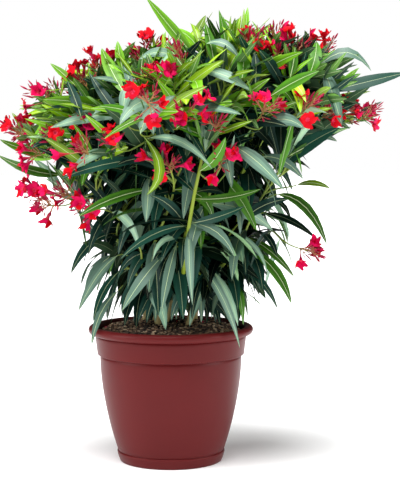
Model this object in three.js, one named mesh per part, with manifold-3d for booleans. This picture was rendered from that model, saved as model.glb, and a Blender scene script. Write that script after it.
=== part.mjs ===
// Potted oleander: a clump of eight canes in a bell-shaped plastic pot. Each cane
// forks into two boughs, and each bough ends in a leafy mass with flower heads.
// Two more masses, of older and drooping leaves, grow from the side of each cane.
// Millimetres, +Z up, origin at the centre of the pot's flat underside.

import * as THREE from "three";
import { mergeVertices } from "three/addons/utils/BufferGeometryUtils.js";
import Module from "manifold-3d";

const wasm = await Module();
wasm.setup();

// ---- Driving dimensions (millimetres and degrees) ----

const GAP = 0.3; // clearance where one solid rests on another
const SEED = 20817;
const UP = new THREE.Vector3(0, 0, 1);
const GOLDEN_ANGLE = 137.508;

const POT = {
  height: 256,
  wall: 4,
  floor: 8,
  segments: 32,
  footRadius: 97,
  footBandRadius: 101.5,
  footBandHeight: 19.5,
  bodyBottom: { radius: 100.8, z: 21.5 },
  bodyTop: { radius: 133.4, z: 196 },
  bodyBulge: 1.75, // above 1, the wall swells out low down and stands up near the top
  bodySteps: 4,
  collarBottom: { radius: 138.7, z: 205 },
  collarTop: { radius: 142.8, z: 237.5 },
  lip: { centreRadius: 147, centreZ: 248, radius: 8, fromDeg: -60, toDeg: 180, steps: 4 },
};

const SOIL_TOP = 236;

const CROWN = {
  centreX: 55,
  reach: 280, // from the crown's middle to its outermost shoot tips
  depthShare: 0.94, // the crown is a little shallower than it is wide
  top: 790, // height of a shoot tip at the crown's middle
  fall: 0.42, // how far the dome drops for each millimetre outwards
  rise: 0.15, // how far it climbs for each millimetre towards +X
  edgeLean: 52, // lean of the outermost shoots from upright
  firstAzimuth: 262,
};

const STEM = {
  count: 8,
  footRadius: [30, 56], // even canes stand near the middle and odd ones further out
  forkZ: 448,
  forkShare: 0.42, // a fork's distance out, as a share of its inner mass's
  forkLean: 0.32, // its lean outwards, as a share of the inner mass's
  flareRadius: 12,
  flareLength: 0.12, // share of the cane's length that the root flare takes
  radius: [9, 6.6],
  tipRadius: 8.8, // the swollen node under a fork
  sides: 7,
  rings: 8,
};

const BOUGH = { radius: [4.1, 3.6], offset: 4.5, sides: 5, rings: 5 };

const SHOOT = {
  stem: 30, // length of a mass's own stem, before it branches
  reach: 128, // from a bough's tip to its shoots' tips
  spread: 44,
  splay: 24,
  parting: 8, // along the stem from one shoot to the next
  turn: 30, // how far a shoot turns from the stem as it leaves it
  leaderRadius: 3.5, // a mass's first shoot, which is its stem carried on
  radius: [2.9, 1.8],
  sides: 3,
  rings: 3,
};

// Masses that grow from the side of a cane: where on it, which way, and their shoots' tips.
const SIDE = {
  at: 0.74,
  turns: [24, 12, 36, 0, 48, -14],
  out: 46,
  up: 26,
  tips: [{ radius: 204, z: 532, lean: 60, turn: 4 }],
};
const SKIRT = {
  at: 0.5,
  turns: [-20, -32, -8, -44, 6, -56, 20],
  out: 36,
  up: 18,
  tips: [
    { radius: 116, z: 402, lean: 34, turn: -18 },
    { radius: 158, z: 436, lean: 62, turn: 22 },
  ],
};

const LEAF = {
  length: 146,
  widthShare: 0.2,
  thicknessShare: 0.014,
  broadest: 0.46, // share of the length where the blade is broadest
  crowdedShare: 0.12, // the part near the root where leaves of one whorl may touch
  bloomOpening: 34, // how much wider the leaves stand round a flower head
  whorlSize: 3,
  whorlPitch: 26,
  topWhorl: 4, // from the first whorl to the shoot's tip
};

// How the whorls of each kind of shoot open out: angles from the shoot's direction.
const HABIT = {
  top: { whorls: 4, opening: [20, 96], droop: [4, 34], share: [0.66, 1] },
  outer: { whorls: 4, opening: [24, 100], droop: [8, 44], share: [0.66, 1] },
  side: { whorls: 5, opening: [36, 106], droop: [20, 60], share: [0.8, 1.05] },
  skirt: { whorls: 4, opening: [52, 124], droop: [45, 86], share: [0.85, 1.08] },
};

const BLOOM = {
  share: { top: 0.35, outer: 0.55, side: 0.4, skirt: 0 }, // of the shoots that end in a flower head
  stalk: 40,
  flowers: 3,
  step: 9, // along the stalk from one flower to the next
  splay: 54,
  petals: 5,
  reach: 21,
  tube: 30, // from the stalk's axis to the mouth
  throat: 5,
};

const MASS_SPACE = 2.6; // how much nearer a leaf may be to another mass's shoots than to its own
const WELD = 2e-3; // vertices nearer than this are made one
const CLEARANCE = 0.9; // least space kept between the leaves of two masses

const COLOURS = {
  pot: 0x763338,
  soil: 0x3b2c22,
  bark: 0x8d8462,
  bough: 0x7f8a3d,
  leaf: 0x47682f,
};

// ---- Small helpers ----

const lerp = THREE.MathUtils.lerp;
const radians = THREE.MathUtils.degToRad;

// A repeatable number from 0 to 1 for any list of whole numbers.
function chance(...keys) {
  let h = SEED;
  for (const key of keys) {
    h = Math.imul(h ^ (key + 0x9e3779b9), 0x85ebca6b);
    h ^= h >>> 13;
    h = Math.imul(h, 0xc2b2ae35);
    h ^= h >>> 16;
  }
  return (h >>> 0) / 4294967296;
}

const between = (low, high, ...keys) => lerp(low, high, chance(...keys));

function outwards(azimuth) {
  return new THREE.Vector3(Math.cos(radians(azimuth)), Math.sin(radians(azimuth)), 0);
}

// A direction that leans from upright towards an azimuth.
function leaning(azimuth, lean) {
  return tilted(UP, outwards(azimuth), lean);
}

function acrossFrom(direction) {
  const away = Math.abs(direction.z) < 0.9 ? UP : new THREE.Vector3(1, 0, 0);
  return new THREE.Vector3().crossVectors(away, direction).normalize();
}

function tilted(direction, sideways, degrees) {
  return direction
    .clone()
    .multiplyScalar(Math.cos(radians(degrees)))
    .addScaledVector(sideways, Math.sin(radians(degrees)));
}

// The unit vector square to a direction, turned about it.
function around(direction, degrees) {
  return acrossFrom(direction).applyAxisAngle(direction, radians(degrees));
}

const along = (point, direction, distance) => point.clone().addScaledVector(direction, distance);

// ---- Solids ----

function solidOf(geometry) {
  const g = geometry.index ? geometry.toNonIndexed() : geometry.clone();
  for (const name of ["normal", "uv"]) g.deleteAttribute(name);
  const merged = mergeVertices(g, 1e-4);
  return new wasm.Manifold(
    new wasm.Mesh({
      numProp: 3,
      vertProperties: merged.attributes.position.array,
      triVerts: new Uint32Array(merged.index.array),
    }),
  );
}

function geometryOf(solid) {
  const mesh = solid.getMesh();
  const g = new THREE.BufferGeometry();
  g.setAttribute("position", new THREE.BufferAttribute(mesh.vertProperties, 3));
  g.setIndex(new THREE.BufferAttribute(mesh.triVerts, 1));
  return g;
}

// Moves every vertex of a geometry to the point that place() gives for it.
function shaped(geometry, place) {
  const position = geometry.attributes.position;
  const v = new THREE.Vector3();
  for (let i = 0; i < position.count; i++) {
    v.fromBufferAttribute(position, i);
    const p = place(v);
    position.setXYZ(i, p.x, p.y, p.z);
  }
  return solidOf(geometry);
}

// A closed tapering bar along a run of points, with flat ends square to the given ways.
function bar(points, radiusAt, sides, firstWay, lastWay) {
  const last = points.length - 1;
  const frames = [];
  let normal = null;
  for (let i = 0; i <= last; i++) {
    const run = points[Math.min(last, i + 1)].clone().sub(points[Math.max(0, i - 1)]);
    const tangent = ((i === 0 && firstWay) || (i === last && lastWay) || run).clone().normalize();
    normal = (normal ?? acrossFrom(tangent)).clone().projectOnPlane(tangent).normalize();
    const binormal = new THREE.Vector3().crossVectors(normal, tangent);
    frames.push({ centre: points[i], normal, binormal, radius: radiusAt(i / last) });
  }
  return shaped(new THREE.CylinderGeometry(1, 1, 1, sides, last), (v) => {
    const f = frames[Math.round((v.y + 0.5) * last)];
    return along(along(f.centre, f.normal, v.x * f.radius), f.binormal, v.z * f.radius);
  });
}

const taper = (from, to) => (t) => lerp(from, to, t);

// The point on a bar's axis at a distance back from one of its ends, or null beyond it.
function backFrom(points, distance) {
  let left = distance;
  for (let i = points.length - 1; i > 0; i--) {
    const step = points[i].distanceTo(points[i - 1]);
    if (left <= step) return points[i].clone().lerp(points[i - 1], left / step);
    left -= step;
  }
  return null;
}

// A lance-shaped blade of eight faces, bent where it is broadest.
function blade(leaf, extra = 0) {
  const half = (leaf.width + extra) / 2;
  const thick = leaf.length * LEAF.thicknessShare + extra;
  return shaped(new THREE.OctahedronGeometry(1), (v) => {
    const centre = v.x < -0.5 ? leaf.root : v.x > 0.5 ? leaf.tip : leaf.middle;
    return along(along(centre, leaf.side, v.y * half), leaf.face, (v.z * thick) / 2);
  });
}

// A flower as a funnel with one corner for each petal.
function flower(base, direction, turn) {
  const side = around(direction, turn);
  const other = new THREE.Vector3().crossVectors(side, direction);
  return shaped(new THREE.SphereGeometry(1, BLOOM.petals, 2), (v) => {
    if (v.y > 0.5) return along(base, direction, BLOOM.tube - BLOOM.throat);
    if (v.y < -0.5) return base;
    const rim = along(base, direction, BLOOM.tube);
    return along(along(rim, side, v.x * BLOOM.reach), other, v.z * BLOOM.reach);
  });
}

// ---- Pot and soil ----

function bodyRadius(z) {
  const { bodyBottom: low, bodyTop: high } = POT;
  const t = (z - low.z) / (high.z - low.z);
  return lerp(low.radius, high.radius, 1 - (1 - t) ** POT.bodyBulge);
}

function potOutside() {
  const { bodyBottom, bodyTop, collarBottom, collarTop, lip } = POT;
  const points = [
    [POT.footRadius, 0],
    [POT.footBandRadius, POT.footBandHeight],
  ];
  for (let i = 0; i <= POT.bodySteps; i++) {
    const z = lerp(bodyBottom.z, bodyTop.z, i / POT.bodySteps);
    points.push([bodyRadius(z), z]);
  }
  points.push([collarBottom.radius, collarBottom.z], [collarTop.radius, collarTop.z]);
  for (let i = 0; i <= lip.steps; i++) {
    const angle = radians(lerp(lip.fromDeg, lip.toDeg, i / lip.steps));
    points.push([
      lip.centreRadius + lip.radius * Math.cos(angle),
      lip.centreZ + lip.radius * Math.sin(angle),
    ]);
  }
  return points;
}

// The inner wall from the rim down to the floor, moved inwards by an offset.
function potInside(offset) {
  const { bodyBottom, bodyTop, collarBottom, collarTop } = POT;
  const inset = POT.wall + offset;
  const points = [
    [collarTop.radius - inset, collarTop.z],
    [collarBottom.radius - inset, collarBottom.z],
  ];
  for (let i = POT.bodySteps; i >= 0; i--) {
    const z = lerp(bodyBottom.z, bodyTop.z, i / POT.bodySteps);
    points.push([bodyRadius(z) - inset, z]);
  }
  points.push([POT.footRadius - inset, POT.floor + offset]);
  return points;
}

function turned(points) {
  const profile = points.map(([radius, z]) => new THREE.Vector2(radius, z));
  const g = new THREE.LatheGeometry(profile, POT.segments);
  g.rotateX(Math.PI / 2);
  return solidOf(g);
}

function potSolid() {
  return turned([[0, 0], ...potOutside(), ...potInside(0), [0, POT.floor]]);
}

function soilSolid() {
  const { collarBottom: low, collarTop: high } = POT;
  const collar = lerp(low.radius, high.radius, (SOIL_TOP - low.z) / (high.z - low.z));
  const top = collar - POT.wall - GAP;
  const wall = potInside(GAP).slice(1).reverse();
  return turned([[0, POT.floor + GAP], ...wall, [top, SOIL_TOP], [0, SOIL_TOP]]);
}

// ---- The plant's plan: where limbs run and shoots end ----

// The place and lean of upper mass m, counted from the crown's middle outwards.
function upperMass(m) {
  const radius = CROWN.reach * Math.sqrt((m + 0.5) / (2 * STEM.count));
  const azimuth = CROWN.firstAzimuth + m * GOLDEN_ANGLE + between(-7, 7, 1, m);
  const centre = outwards(azimuth).multiplyScalar(radius);
  centre.y *= CROWN.depthShare;
  centre.z = CROWN.top - CROWN.fall * radius + CROWN.rise * centre.x + between(-12, 12, 2, m);
  centre.x += CROWN.centreX;
  const lean = (CROWN.edgeLean * radius) / CROWN.reach;
  const direction = leaning(azimuth, lean);
  return { radius, azimuth, lean, centre, direction, start: along(centre, direction, -SHOOT.reach) };
}

function stemPlan(k, inner) {
  const footRadius = STEM.footRadius[k % 2] + between(-4, 4, 3, k);
  const foot = outwards(inner.azimuth + between(-14, 14, 4, k)).multiplyScalar(footRadius);
  foot.z = SOIL_TOP + GAP;
  const fork = outwards(inner.azimuth).multiplyScalar(18 + inner.radius * STEM.forkShare);
  fork.x += CROWN.centreX * 0.6;
  fork.z = STEM.forkZ + between(-16, 16, 5, k);
  const direction = leaning(inner.azimuth, inner.lean * STEM.forkLean + 4);
  const curve = new THREE.CubicBezierCurve3(
    foot,
    along(foot, UP, 52),
    along(fork, direction, -70),
    fork,
  );
  return { curve, fork, direction };
}

function stemRadius(t) {
  if (t < STEM.flareLength) return lerp(STEM.flareRadius, STEM.radius[0], t / STEM.flareLength);
  if (t > 0.999) return STEM.tipRadius;
  return lerp(STEM.radius[0], STEM.radius[1], t);
}

// A bough leaves the fork upright on its face and arrives along its mass's direction.
function boughCurve(stem, mass, side) {
  const seat = along(along(stem.fork, stem.direction, GAP), side, BOUGH.offset);
  return new THREE.CubicBezierCurve3(
    seat,
    along(seat, stem.direction, 34),
    along(mass.start, mass.direction, -46),
    mass.start,
  );
}

// ---- Foliage masses: a stem, its shoots, and the leaves and flowers on them ----

function newMass(name, index, kind, stem) {
  return { name, index, kind, stem, spine: [], shoots: [], solids: [], blades: [] };
}

// The first shoot carries its mass's stem on; the others part from lower down on it.
function addShoot(mass, tip, direction) {
  const number = mass.shoots.length;
  const fork = mass.stem.at(-1);
  const heading = fork.clone().sub(mass.stem.at(-2)).normalize();
  const from = number ? backFrom(mass.stem, number * SHOOT.parting) : fork;
  const reach = tip.distanceTo(from);
  const sideways = tip.clone().sub(from).projectOnPlane(heading).normalize();
  const curve = new THREE.CubicBezierCurve3(
    from,
    along(from, tilted(heading, sideways, SHOOT.turn), reach * 0.35),
    along(tip, direction, -reach * 0.4),
    tip,
  );
  const run = curve.getPoints(SHOOT.rings);
  const axis = number ? run : [...mass.stem.slice(0, -1), ...run];
  const blooms = chance(8, mass.index, number) < BLOOM.share[mass.kind];
  const bare = blooms ? [along(tip, direction, BLOOM.stalk)] : [];
  const thick = number ? SHOOT.radius[0] : SHOOT.leaderRadius;
  mass.shoots.push({ axis, tip, direction, blooms, number });
  mass.solids.push(bar([...axis, ...bare], taper(thick, SHOOT.radius[1]), SHOOT.sides));
  for (const t of [0.25, 0.5, 0.75, 1]) mass.spine.push(curve.getPoint(t));
}

function upperFoliage(name, m, plan) {
  const kind = m < STEM.count ? "top" : "outer";
  const base = along(plan.start, plan.direction, GAP);
  const mass = newMass(name, m, kind, [base, along(base, plan.direction, SHOOT.stem)]);
  const count = kind === "top" ? 2 : 3;
  for (let s = 0; s < count; s++) {
    const turn = (360 * s) / count + between(0, 90, 6, m);
    const sideways = around(plan.direction, turn);
    const ahead = between(-22, 14, 7, m, s);
    const tip = along(along(plan.centre, sideways, SHOOT.spread), plan.direction, ahead);
    addShoot(mass, tip, tilted(plan.direction, sideways, SHOOT.splay));
  }
  return mass;
}

// A mass on the side of a cane: its stem grows out level and turns upwards.
function sideFoliage(name, index, kind, plan, stem, azimuth) {
  const out = outwards(azimuth).projectOnPlane(stem.curve.getTangent(plan.at)).normalize();
  const seat = stem.curve.getPoint(plan.at);
  const base = along(seat, out, stemRadius(plan.at) + GAP);
  const bend = along(base, out, plan.out / 2);
  const fork = along(along(base, out, plan.out), UP, plan.up);
  const mass = newMass(name, index, kind, [base, bend, fork]);
  for (const [s, place] of plan.tips.entries()) {
    const towards = azimuth + place.turn;
    const tip = outwards(towards).multiplyScalar(place.radius * between(0.92, 1.08, 10, index, s));
    tip.z = place.z + CROWN.rise * tip.x + between(-16, 16, 11, index, s);
    tip.x += (CROWN.centreX * place.radius) / CROWN.reach;
    addShoot(mass, tip, leaning(towards, place.lean));
  }
  return mass;
}

// Leaf number i of whorl w on a shoot, counted from its tip.
function leafPlan(mass, shoot, w, i) {
  const habit = HABIT[mass.kind];
  const keys = [mass.index, shoot.number, w, i];
  const age = w / (habit.whorls - 1);
  const length = LEAF.length * lerp(...habit.share, Math.min(1, age * 1.6)) * between(0.88, 1.1, 12, ...keys);
  const root = backFrom(shoot.axis, LEAF.whorlPitch * w + LEAF.topWhorl);
  if (!root || root.distanceTo(shoot.axis[0]) < LEAF.whorlPitch) return null;
  const turn = (360 * i) / LEAF.whorlSize + 60 * w + between(-14, 14, 13, ...keys);
  const sideways = around(shoot.direction, turn);
  const widened = shoot.blooms ? LEAF.bloomOpening * (1 - age) : 0;
  const opening = lerp(...habit.opening, age) + widened + between(-9, 9, 14, ...keys);
  const start = tilted(shoot.direction, sideways, opening);
  const hinge = new THREE.Vector3().crossVectors(start, UP).normalize();
  const droop = radians(lerp(...habit.droop, age) * between(0.7, 1.3, 15, ...keys));
  const steepest = Math.max(0, start.angleTo(UP.clone().negate()) - radians(12));
  const end = start.clone().applyAxisAngle(hinge, -Math.min(droop, steepest));
  const bend = along(root, start, length / 2);
  const tip = along(bend, end, length / 2);
  const middle = new THREE.QuadraticBezierCurve3(root, bend, tip).getPoint(LEAF.broadest);
  const side = new THREE.Vector3().crossVectors(start, sideways).normalize();
  if (side.lengthSq() < 0.5) side.copy(hinge);
  const face = new THREE.Vector3().crossVectors(tip.clone().sub(root), side).normalize();
  return { root, middle, tip, side, face, length, width: length * LEAF.widthShare };
}

function overlaps(solid, box, others) {
  return others.some((o) => o.box.intersectsBox(box) && solid.intersect(o.solid).volume() > 0);
}

function boxOf(solid) {
  const { min, max } = solid.boundingBox();
  return new THREE.Box3(new THREE.Vector3(...min), new THREE.Vector3(...max));
}

const taken = []; // every piece placed so far: { owner, solid, box }

function take(owner, solid) {
  taken.push({ owner, solid, box: boxOf(solid) });
}

// Adds a piece to its mass, unless its slightly larger copy touches another node.
function grow(mass, solid, larger = solid) {
  const box = boxOf(larger);
  if (overlaps(larger, box, taken.filter((o) => o.owner !== mass.name))) return false;
  mass.solids.push(solid);
  take(mass.name, larger);
  return true;
}

const nearest = (mass, point) => Math.min(...mass.spine.map((q) => q.distanceTo(point)));

function staysInSpace(mass, leaf, masses) {
  return [leaf.middle, leaf.tip].every((p) => {
    const limit = nearest(mass, p) / MASS_SPACE;
    return masses.every((o) => o === mass || nearest(o, p) > limit);
  });
}

function growLeaf(mass, shoot, w, i, masses) {
  const leaf = leafPlan(mass, shoot, w, i);
  const low = POT.height + 4;
  if (!leaf || leaf.tip.z < low || !staysInSpace(mass, leaf, masses)) return;
  const freeRoot = leaf.root.clone().lerp(leaf.middle, LEAF.crowdedShare);
  const free = blade({ ...leaf, root: freeRoot });
  const box = boxOf(free);
  if (overlaps(free, box, mass.blades)) return;
  if (grow(mass, blade(leaf), blade(leaf, CLEARANCE))) mass.blades.push({ solid: free, box });
}

// Flowers rooted on the axis of the bare stalk beyond a shoot's leaves.
function growBloom(mass, shoot) {
  const { tip, direction } = shoot;
  for (let i = 0; i < BLOOM.flowers; i++) {
    const keys = [mass.index, shoot.number, i];
    const turn = (360 * i) / BLOOM.flowers + between(-15, 15, 16, ...keys);
    const way = tilted(direction, around(direction, turn), BLOOM.splay);
    const base = along(tip, direction, BLOOM.stalk - 3 - i * BLOOM.step);
    const solid = flower(base, way, between(0, 72, 17, ...keys));
    if (grow(mass, solid)) mass.blades.push({ solid, box: boxOf(solid) });
  }
}

// True if a solid is still closed after its vertices are welded and the slivers dropped.
function closes(solid) {
  const merged = mergeVertices(geometryOf(solid), WELD);
  const index = merged.index.array;
  const uses = new Map();
  for (let i = 0; i < index.length; i += 3) {
    const corners = [index[i], index[i + 1], index[i + 2]];
    if (new Set(corners).size < 3) continue;
    for (const [j, from] of corners.entries()) {
      const to = corners[(j + 1) % 3];
      const edge = `${Math.min(from, to)} ${Math.max(from, to)}`;
      uses.set(edge, (uses.get(edge) ?? 0) + 1);
    }
  }
  return [...uses.values()].every((count) => count === 2);
}

function largestBody(solids) {
  const bodies = wasm.Manifold.union(solids).decompose();
  return bodies.reduce((best, body) => (body.volume() > best.volume() ? body : best));
}

// One closed body: loose scraps are dropped, and so is a leaf that leaves a sliver open.
function fused(mass) {
  const whole = largestBody(mass.solids);
  if (closes(whole)) return whole;
  for (let i = mass.solids.length - 1; i >= mass.shoots.length; i--) {
    const rest = largestBody(mass.solids.filter((solid, j) => j !== i));
    if (closes(rest)) return rest;
  }
  throw new Error(`${mass.name} doesn't close`);
}

// ---- Assembly ----

const oleander = new THREE.Group();
oleander.name = "potted_oleander";

function addNode(name, solid, colour, roughness) {
  const material = new THREE.MeshStandardMaterial({ color: colour, roughness, metalness: 0 });
  const mesh = new THREE.Mesh(geometryOf(solid), material);
  mesh.name = name;
  oleander.add(mesh);
  take(name, solid);
}

addNode("pot", potSolid(), COLOURS.pot, 0.45);
addNode("soil", soilSolid(), COLOURS.soil, 0.95);

const stems = [];
for (let k = 0; k < STEM.count; k++) {
  const inner = upperMass(k);
  const outer = upperMass(k + STEM.count);
  const stem = stemPlan(k, inner);
  stems.push({ ...stem, inner, outer });
  const cane = bar(stem.curve.getPoints(STEM.rings), stemRadius, STEM.sides, UP, stem.direction);
  addNode(`stem_${k + 1}`, cane, COLOURS.bark, 0.85);

  const towardsOuter = outer.start.clone().sub(inner.start).projectOnPlane(stem.direction).normalize();
  for (const [place, plan, side] of [
    ["inner", inner, towardsOuter.clone().negate()],
    ["outer", outer, towardsOuter],
  ]) {
    const points = boughCurve(stem, plan, side).getPoints(BOUGH.rings);
    const radius = taper(...BOUGH.radius);
    const bough = bar(points, radius, BOUGH.sides, stem.direction, plan.direction);
    addNode(`bough_${k + 1}_${place}`, bough, COLOURS.bough, 0.7);
  }
}

const masses = [];
function settle(mass) {
  masses.push(mass);
  for (const solid of mass.solids) take(mass.name, solid);
}

for (const [k, stem] of stems.entries()) {
  settle(upperFoliage(`foliage_${k + 1}_top`, k, stem.inner));
  settle(upperFoliage(`foliage_${k + 1}_outer`, k + STEM.count, stem.outer));
}

// A side mass turns about its cane until its twigs clear everything placed before it.
function settleBeside(k, kind, index, plan) {
  for (const turn of plan.turns) {
    const azimuth = stems[k].inner.azimuth + turn;
    const mass = sideFoliage(`foliage_${k + 1}_${kind}`, index, kind, plan, stems[k], azimuth);
    const clear = mass.solids.every((solid) => !overlaps(solid, boxOf(solid), taken));
    if (clear) return settle(mass);
  }
}

for (let k = 0; k < STEM.count; k++) settleBeside(k, "side", 2 * STEM.count + k, SIDE);
for (let k = 0; k < STEM.count; k++) settleBeside(k, "skirt", 3 * STEM.count + k, SKIRT);

for (const mass of masses) {
  for (const shoot of mass.shoots) if (shoot.blooms) growBloom(mass, shoot);
}
const mostWhorls = Math.max(...Object.values(HABIT).map((h) => h.whorls));
for (let w = 0; w < mostWhorls; w++) {
  for (const mass of masses) {
    if (w >= HABIT[mass.kind].whorls) continue;
    for (const shoot of mass.shoots) {
      for (let i = 0; i < LEAF.whorlSize; i++) growLeaf(mass, shoot, w, i, masses);
    }
  }
}
for (const mass of masses) addNode(mass.name, fused(mass), COLOURS.leaf, 0.6);

export default oleander;
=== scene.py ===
"""Potted oleander: a bell-shaped plastic pot, bark-covered canes, leaves and flower heads."""

import math

import bpy
import numpy as np
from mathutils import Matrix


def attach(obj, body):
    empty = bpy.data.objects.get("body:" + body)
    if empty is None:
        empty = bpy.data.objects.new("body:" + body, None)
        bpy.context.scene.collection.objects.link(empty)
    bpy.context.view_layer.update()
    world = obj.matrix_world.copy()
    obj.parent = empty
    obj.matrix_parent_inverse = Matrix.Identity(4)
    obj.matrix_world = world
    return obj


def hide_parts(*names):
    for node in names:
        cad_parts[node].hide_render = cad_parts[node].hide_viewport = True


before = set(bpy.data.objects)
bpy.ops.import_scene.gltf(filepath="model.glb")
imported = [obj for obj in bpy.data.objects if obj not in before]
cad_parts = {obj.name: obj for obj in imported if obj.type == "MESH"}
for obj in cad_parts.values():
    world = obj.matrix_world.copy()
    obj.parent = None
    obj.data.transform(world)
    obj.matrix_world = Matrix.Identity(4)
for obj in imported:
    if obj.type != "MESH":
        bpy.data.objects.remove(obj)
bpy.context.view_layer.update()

bl_info = {
    "name": "Potted Oleander",
    "version": (1, 0, 0),
    "blender": (4, 5, 0),
    "location": "View3D > Sidebar > Oleander",
    "description": "Builds a flowering oleander in a bell-shaped pot",
    "category": "Object",
}

MM = 0.001
UP = np.array([0.0, 0.0, 1.0])
GOLDEN_ANGLE = 137.508
SEED = 20817
# Air between a solid and what carries it, in millimetres.
GAP = 0.3

# ---- The plant's plan, in millimetres and degrees ----

# Canes, their boughs, and the shoots that the masses of foliage fork into.
STEM_FOOT_RADIUS = (30, 56)
STEM_FORK_SHARE = 0.42
STEM_FORK_LEAN = 0.32
STEM_FORK_OUT = 18
STEM_FORK_SHIFT = 0.6
STEM_PULL = (52, 70)
STEM_FLARE_RADIUS = 12
STEM_FLARE_LENGTH = 0.12
STEM_RADIUS = (9, 6.6)
STEM_NODE_RADIUS = 8.8
BOUGH_RADIUS = (4.1, 3.6)
BOUGH_OFFSET = 4.5
BOUGH_PULL = (34, 46)
SHOOT_STEM = 30
SHOOT_REACH = 128
SHOOT_SPREAD = 44
SHOOT_SPLAY = 24
SHOOT_PARTING = 8
SHOOT_TURN = 30
LEADER_RADIUS = 3.5
SHOOT_RADIUS = (2.9, 1.8)
LEADER_BARE = 8
SHOOT_BARE = 14
# A flower head's stalk: its length, and how far and in what steps it shortens under the crown's face.
HEAD_STALK = (40, 12, 4)

# Masses on the side of a cane: where on it they start, the turns that they may take, how far
# their stem goes out and up, and where their shoots end.
SIDE = {
    "at": 0.74,
    "turns": (24, 12, 36, 0, 48, -14),
    "out": 46,
    "up": 26,
    "tips": ({"radius": 204, "z": 532, "lean": 60, "turn": 4},),
}
SKIRT = {
    "at": 0.5,
    "turns": (-20, -32, -8, -44, 6, -56, 20),
    "out": 36,
    "up": 18,
    "tips": (
        {"radius": 116, "z": 402, "lean": 34, "turn": -18},
        {"radius": 158, "z": 436, "lean": 62, "turn": 22},
    ),
}

# How leaves stand on each kind of limb, from its tip down to its foot: how far they open from it
# and droop, and their share of the full length.
HABIT = {
    "top": {"opening": (14, 82), "droop": (4, 50), "share": (0.64, 1.04)},
    "outer": {"opening": (18, 88), "droop": (8, 58), "share": (0.64, 1.04)},
    "side": {"opening": (30, 100), "droop": (20, 70), "share": (0.74, 1.04)},
    "skirt": {"opening": (44, 120), "droop": (44, 92), "share": (0.8, 1.06)},
    "bough": {"opening": (70, 112), "droop": (20, 70), "share": (0.85, 1.02)},
    "cane": {"opening": (80, 120), "droop": (44, 74), "share": (0.85, 0.85)},
    "wheel": {"opening": (74, 84), "droop": (64, 84), "share": (1.02, 1.02)},
}

# Finer twigs, and where they part from the shoots of each kind of mass.
TWIG_RADIUS = (2.1, 1.3)
TWIG_PARTING = 46
TWIG_LENGTH = (44, 70)
TWIG_STATIONS = {"top": (52,), "outer": (56,), "side": (), "skirt": ()}
TWIG_RINGS = 6
TWIG_BARE = 22

# The crown's face: height, middle across and radius. The rule's leaves end inside it or just past it.
CROWN_FACE = (
    (236, 0, 133),
    (266, 8, 156),
    (331, 26, 191),
    (416, 28, 195),
    (450, 22, 206),
    (500, 10, 226),
    (540, 6, 246),
    (590, -8, 284),
    (608, 0, 310),
    (626, 30, 336),
    (648, 46, 342),
    (700, 66, 310),
    (754, 86, 262),
    (790, 112, 192),
    (819, 126, 116),
    (840, 122, 58),
    (857, 110, 20),
)
FACE_HEIGHTS, FACE_MIDDLES, FACE_RADII = zip(*CROWN_FACE)
# How far out flower heads, finer twigs and leaves may end: 1 is on the face.
HEAD_LIMIT = 0.98
TWIG_LIMIT = 0.84
LEAF_LIMITS = (0.9, 1.07)

# Flower sprays that stand out of the crown towards its front: across, depth, height, lead colour.
SPRAYS = (
    (-240, -60, 687, "magenta"),
    (-286, -55, 620, "red"),
    (-252, -90, 584, "magenta"),
    (-214, -130, 612, "red"),
    (-150, -150, 632, "magenta"),
    (-150, -206, 584, "red"),
    (-96, -232, 600, "red"),
    (-134, -60, 736, "magenta"),
    (-160, -90, 710, "red"),
    (-40, -30, 784, "red"),
    (-26, -200, 712, "magenta"),
    (32, -258, 652, "magenta"),
    (84, -246, 628, "red"),
    (168, -236, 658, "magenta"),
    (150, -130, 778, "red"),
    (194, -90, 794, "magenta"),
    (236, -90, 772, "red"),
    (245, -190, 662, "red"),
    (290, -120, 656, "red"),
    (332, -50, 660, "red"),
    (374, -20, 654, "magenta"),
    (-254, -60, 508, "magenta"),
    (-232, -90, 486, "red"),
    (-150, -140, 482, "magenta"),
    (-194, -120, 506, "magenta"),
    (260, -60, 398, "magenta"),
)
SPRAY_STALK = 24
# Twigs that reach out to a place: their leafless foot, the distances from a shoot's tip at which
# they may part from it, and the length that suits them best.
REACHING_BARE = 34
REACHING_FROM = (20, 45, 70, 95)
REACHING_LENGTH = 70

# Leafy shoots that fill the crown where the masses leave it open: across, depth and height.
ROSETTES = (
    (-140, -120, 548),
    (-76, -160, 578),
    (-10, -176, 552),
    (40, -176, 590),
    (104, -170, 548),
    (-180, -90, 580),
    (214, -110, 574),
    (262, -60, 604),
    (236, 60, 590),
    (210, -160, 712),
    (266, -110, 716),
    (160, -150, 736),
    (-150, -80, 706),
    (-110, -150, 650),
    (-40, -170, 650),
    (-40, 190, 560),
    (90, 190, 566),
)

# A bright bare shoot in front, with a wheel of hanging leaves round its foot.
LEAD_SHOOT = np.array([(20, -60, 300), (26, -150, 392), (36, -190, 480), (64, -212, 592)], float)
LEAD_RADIUS = (4.4, 3.2)
LEAD_BARE = 120
LEAD_RINGS = 14
WHEEL_AT = (0.40, 0.46, 0.52)

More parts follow.
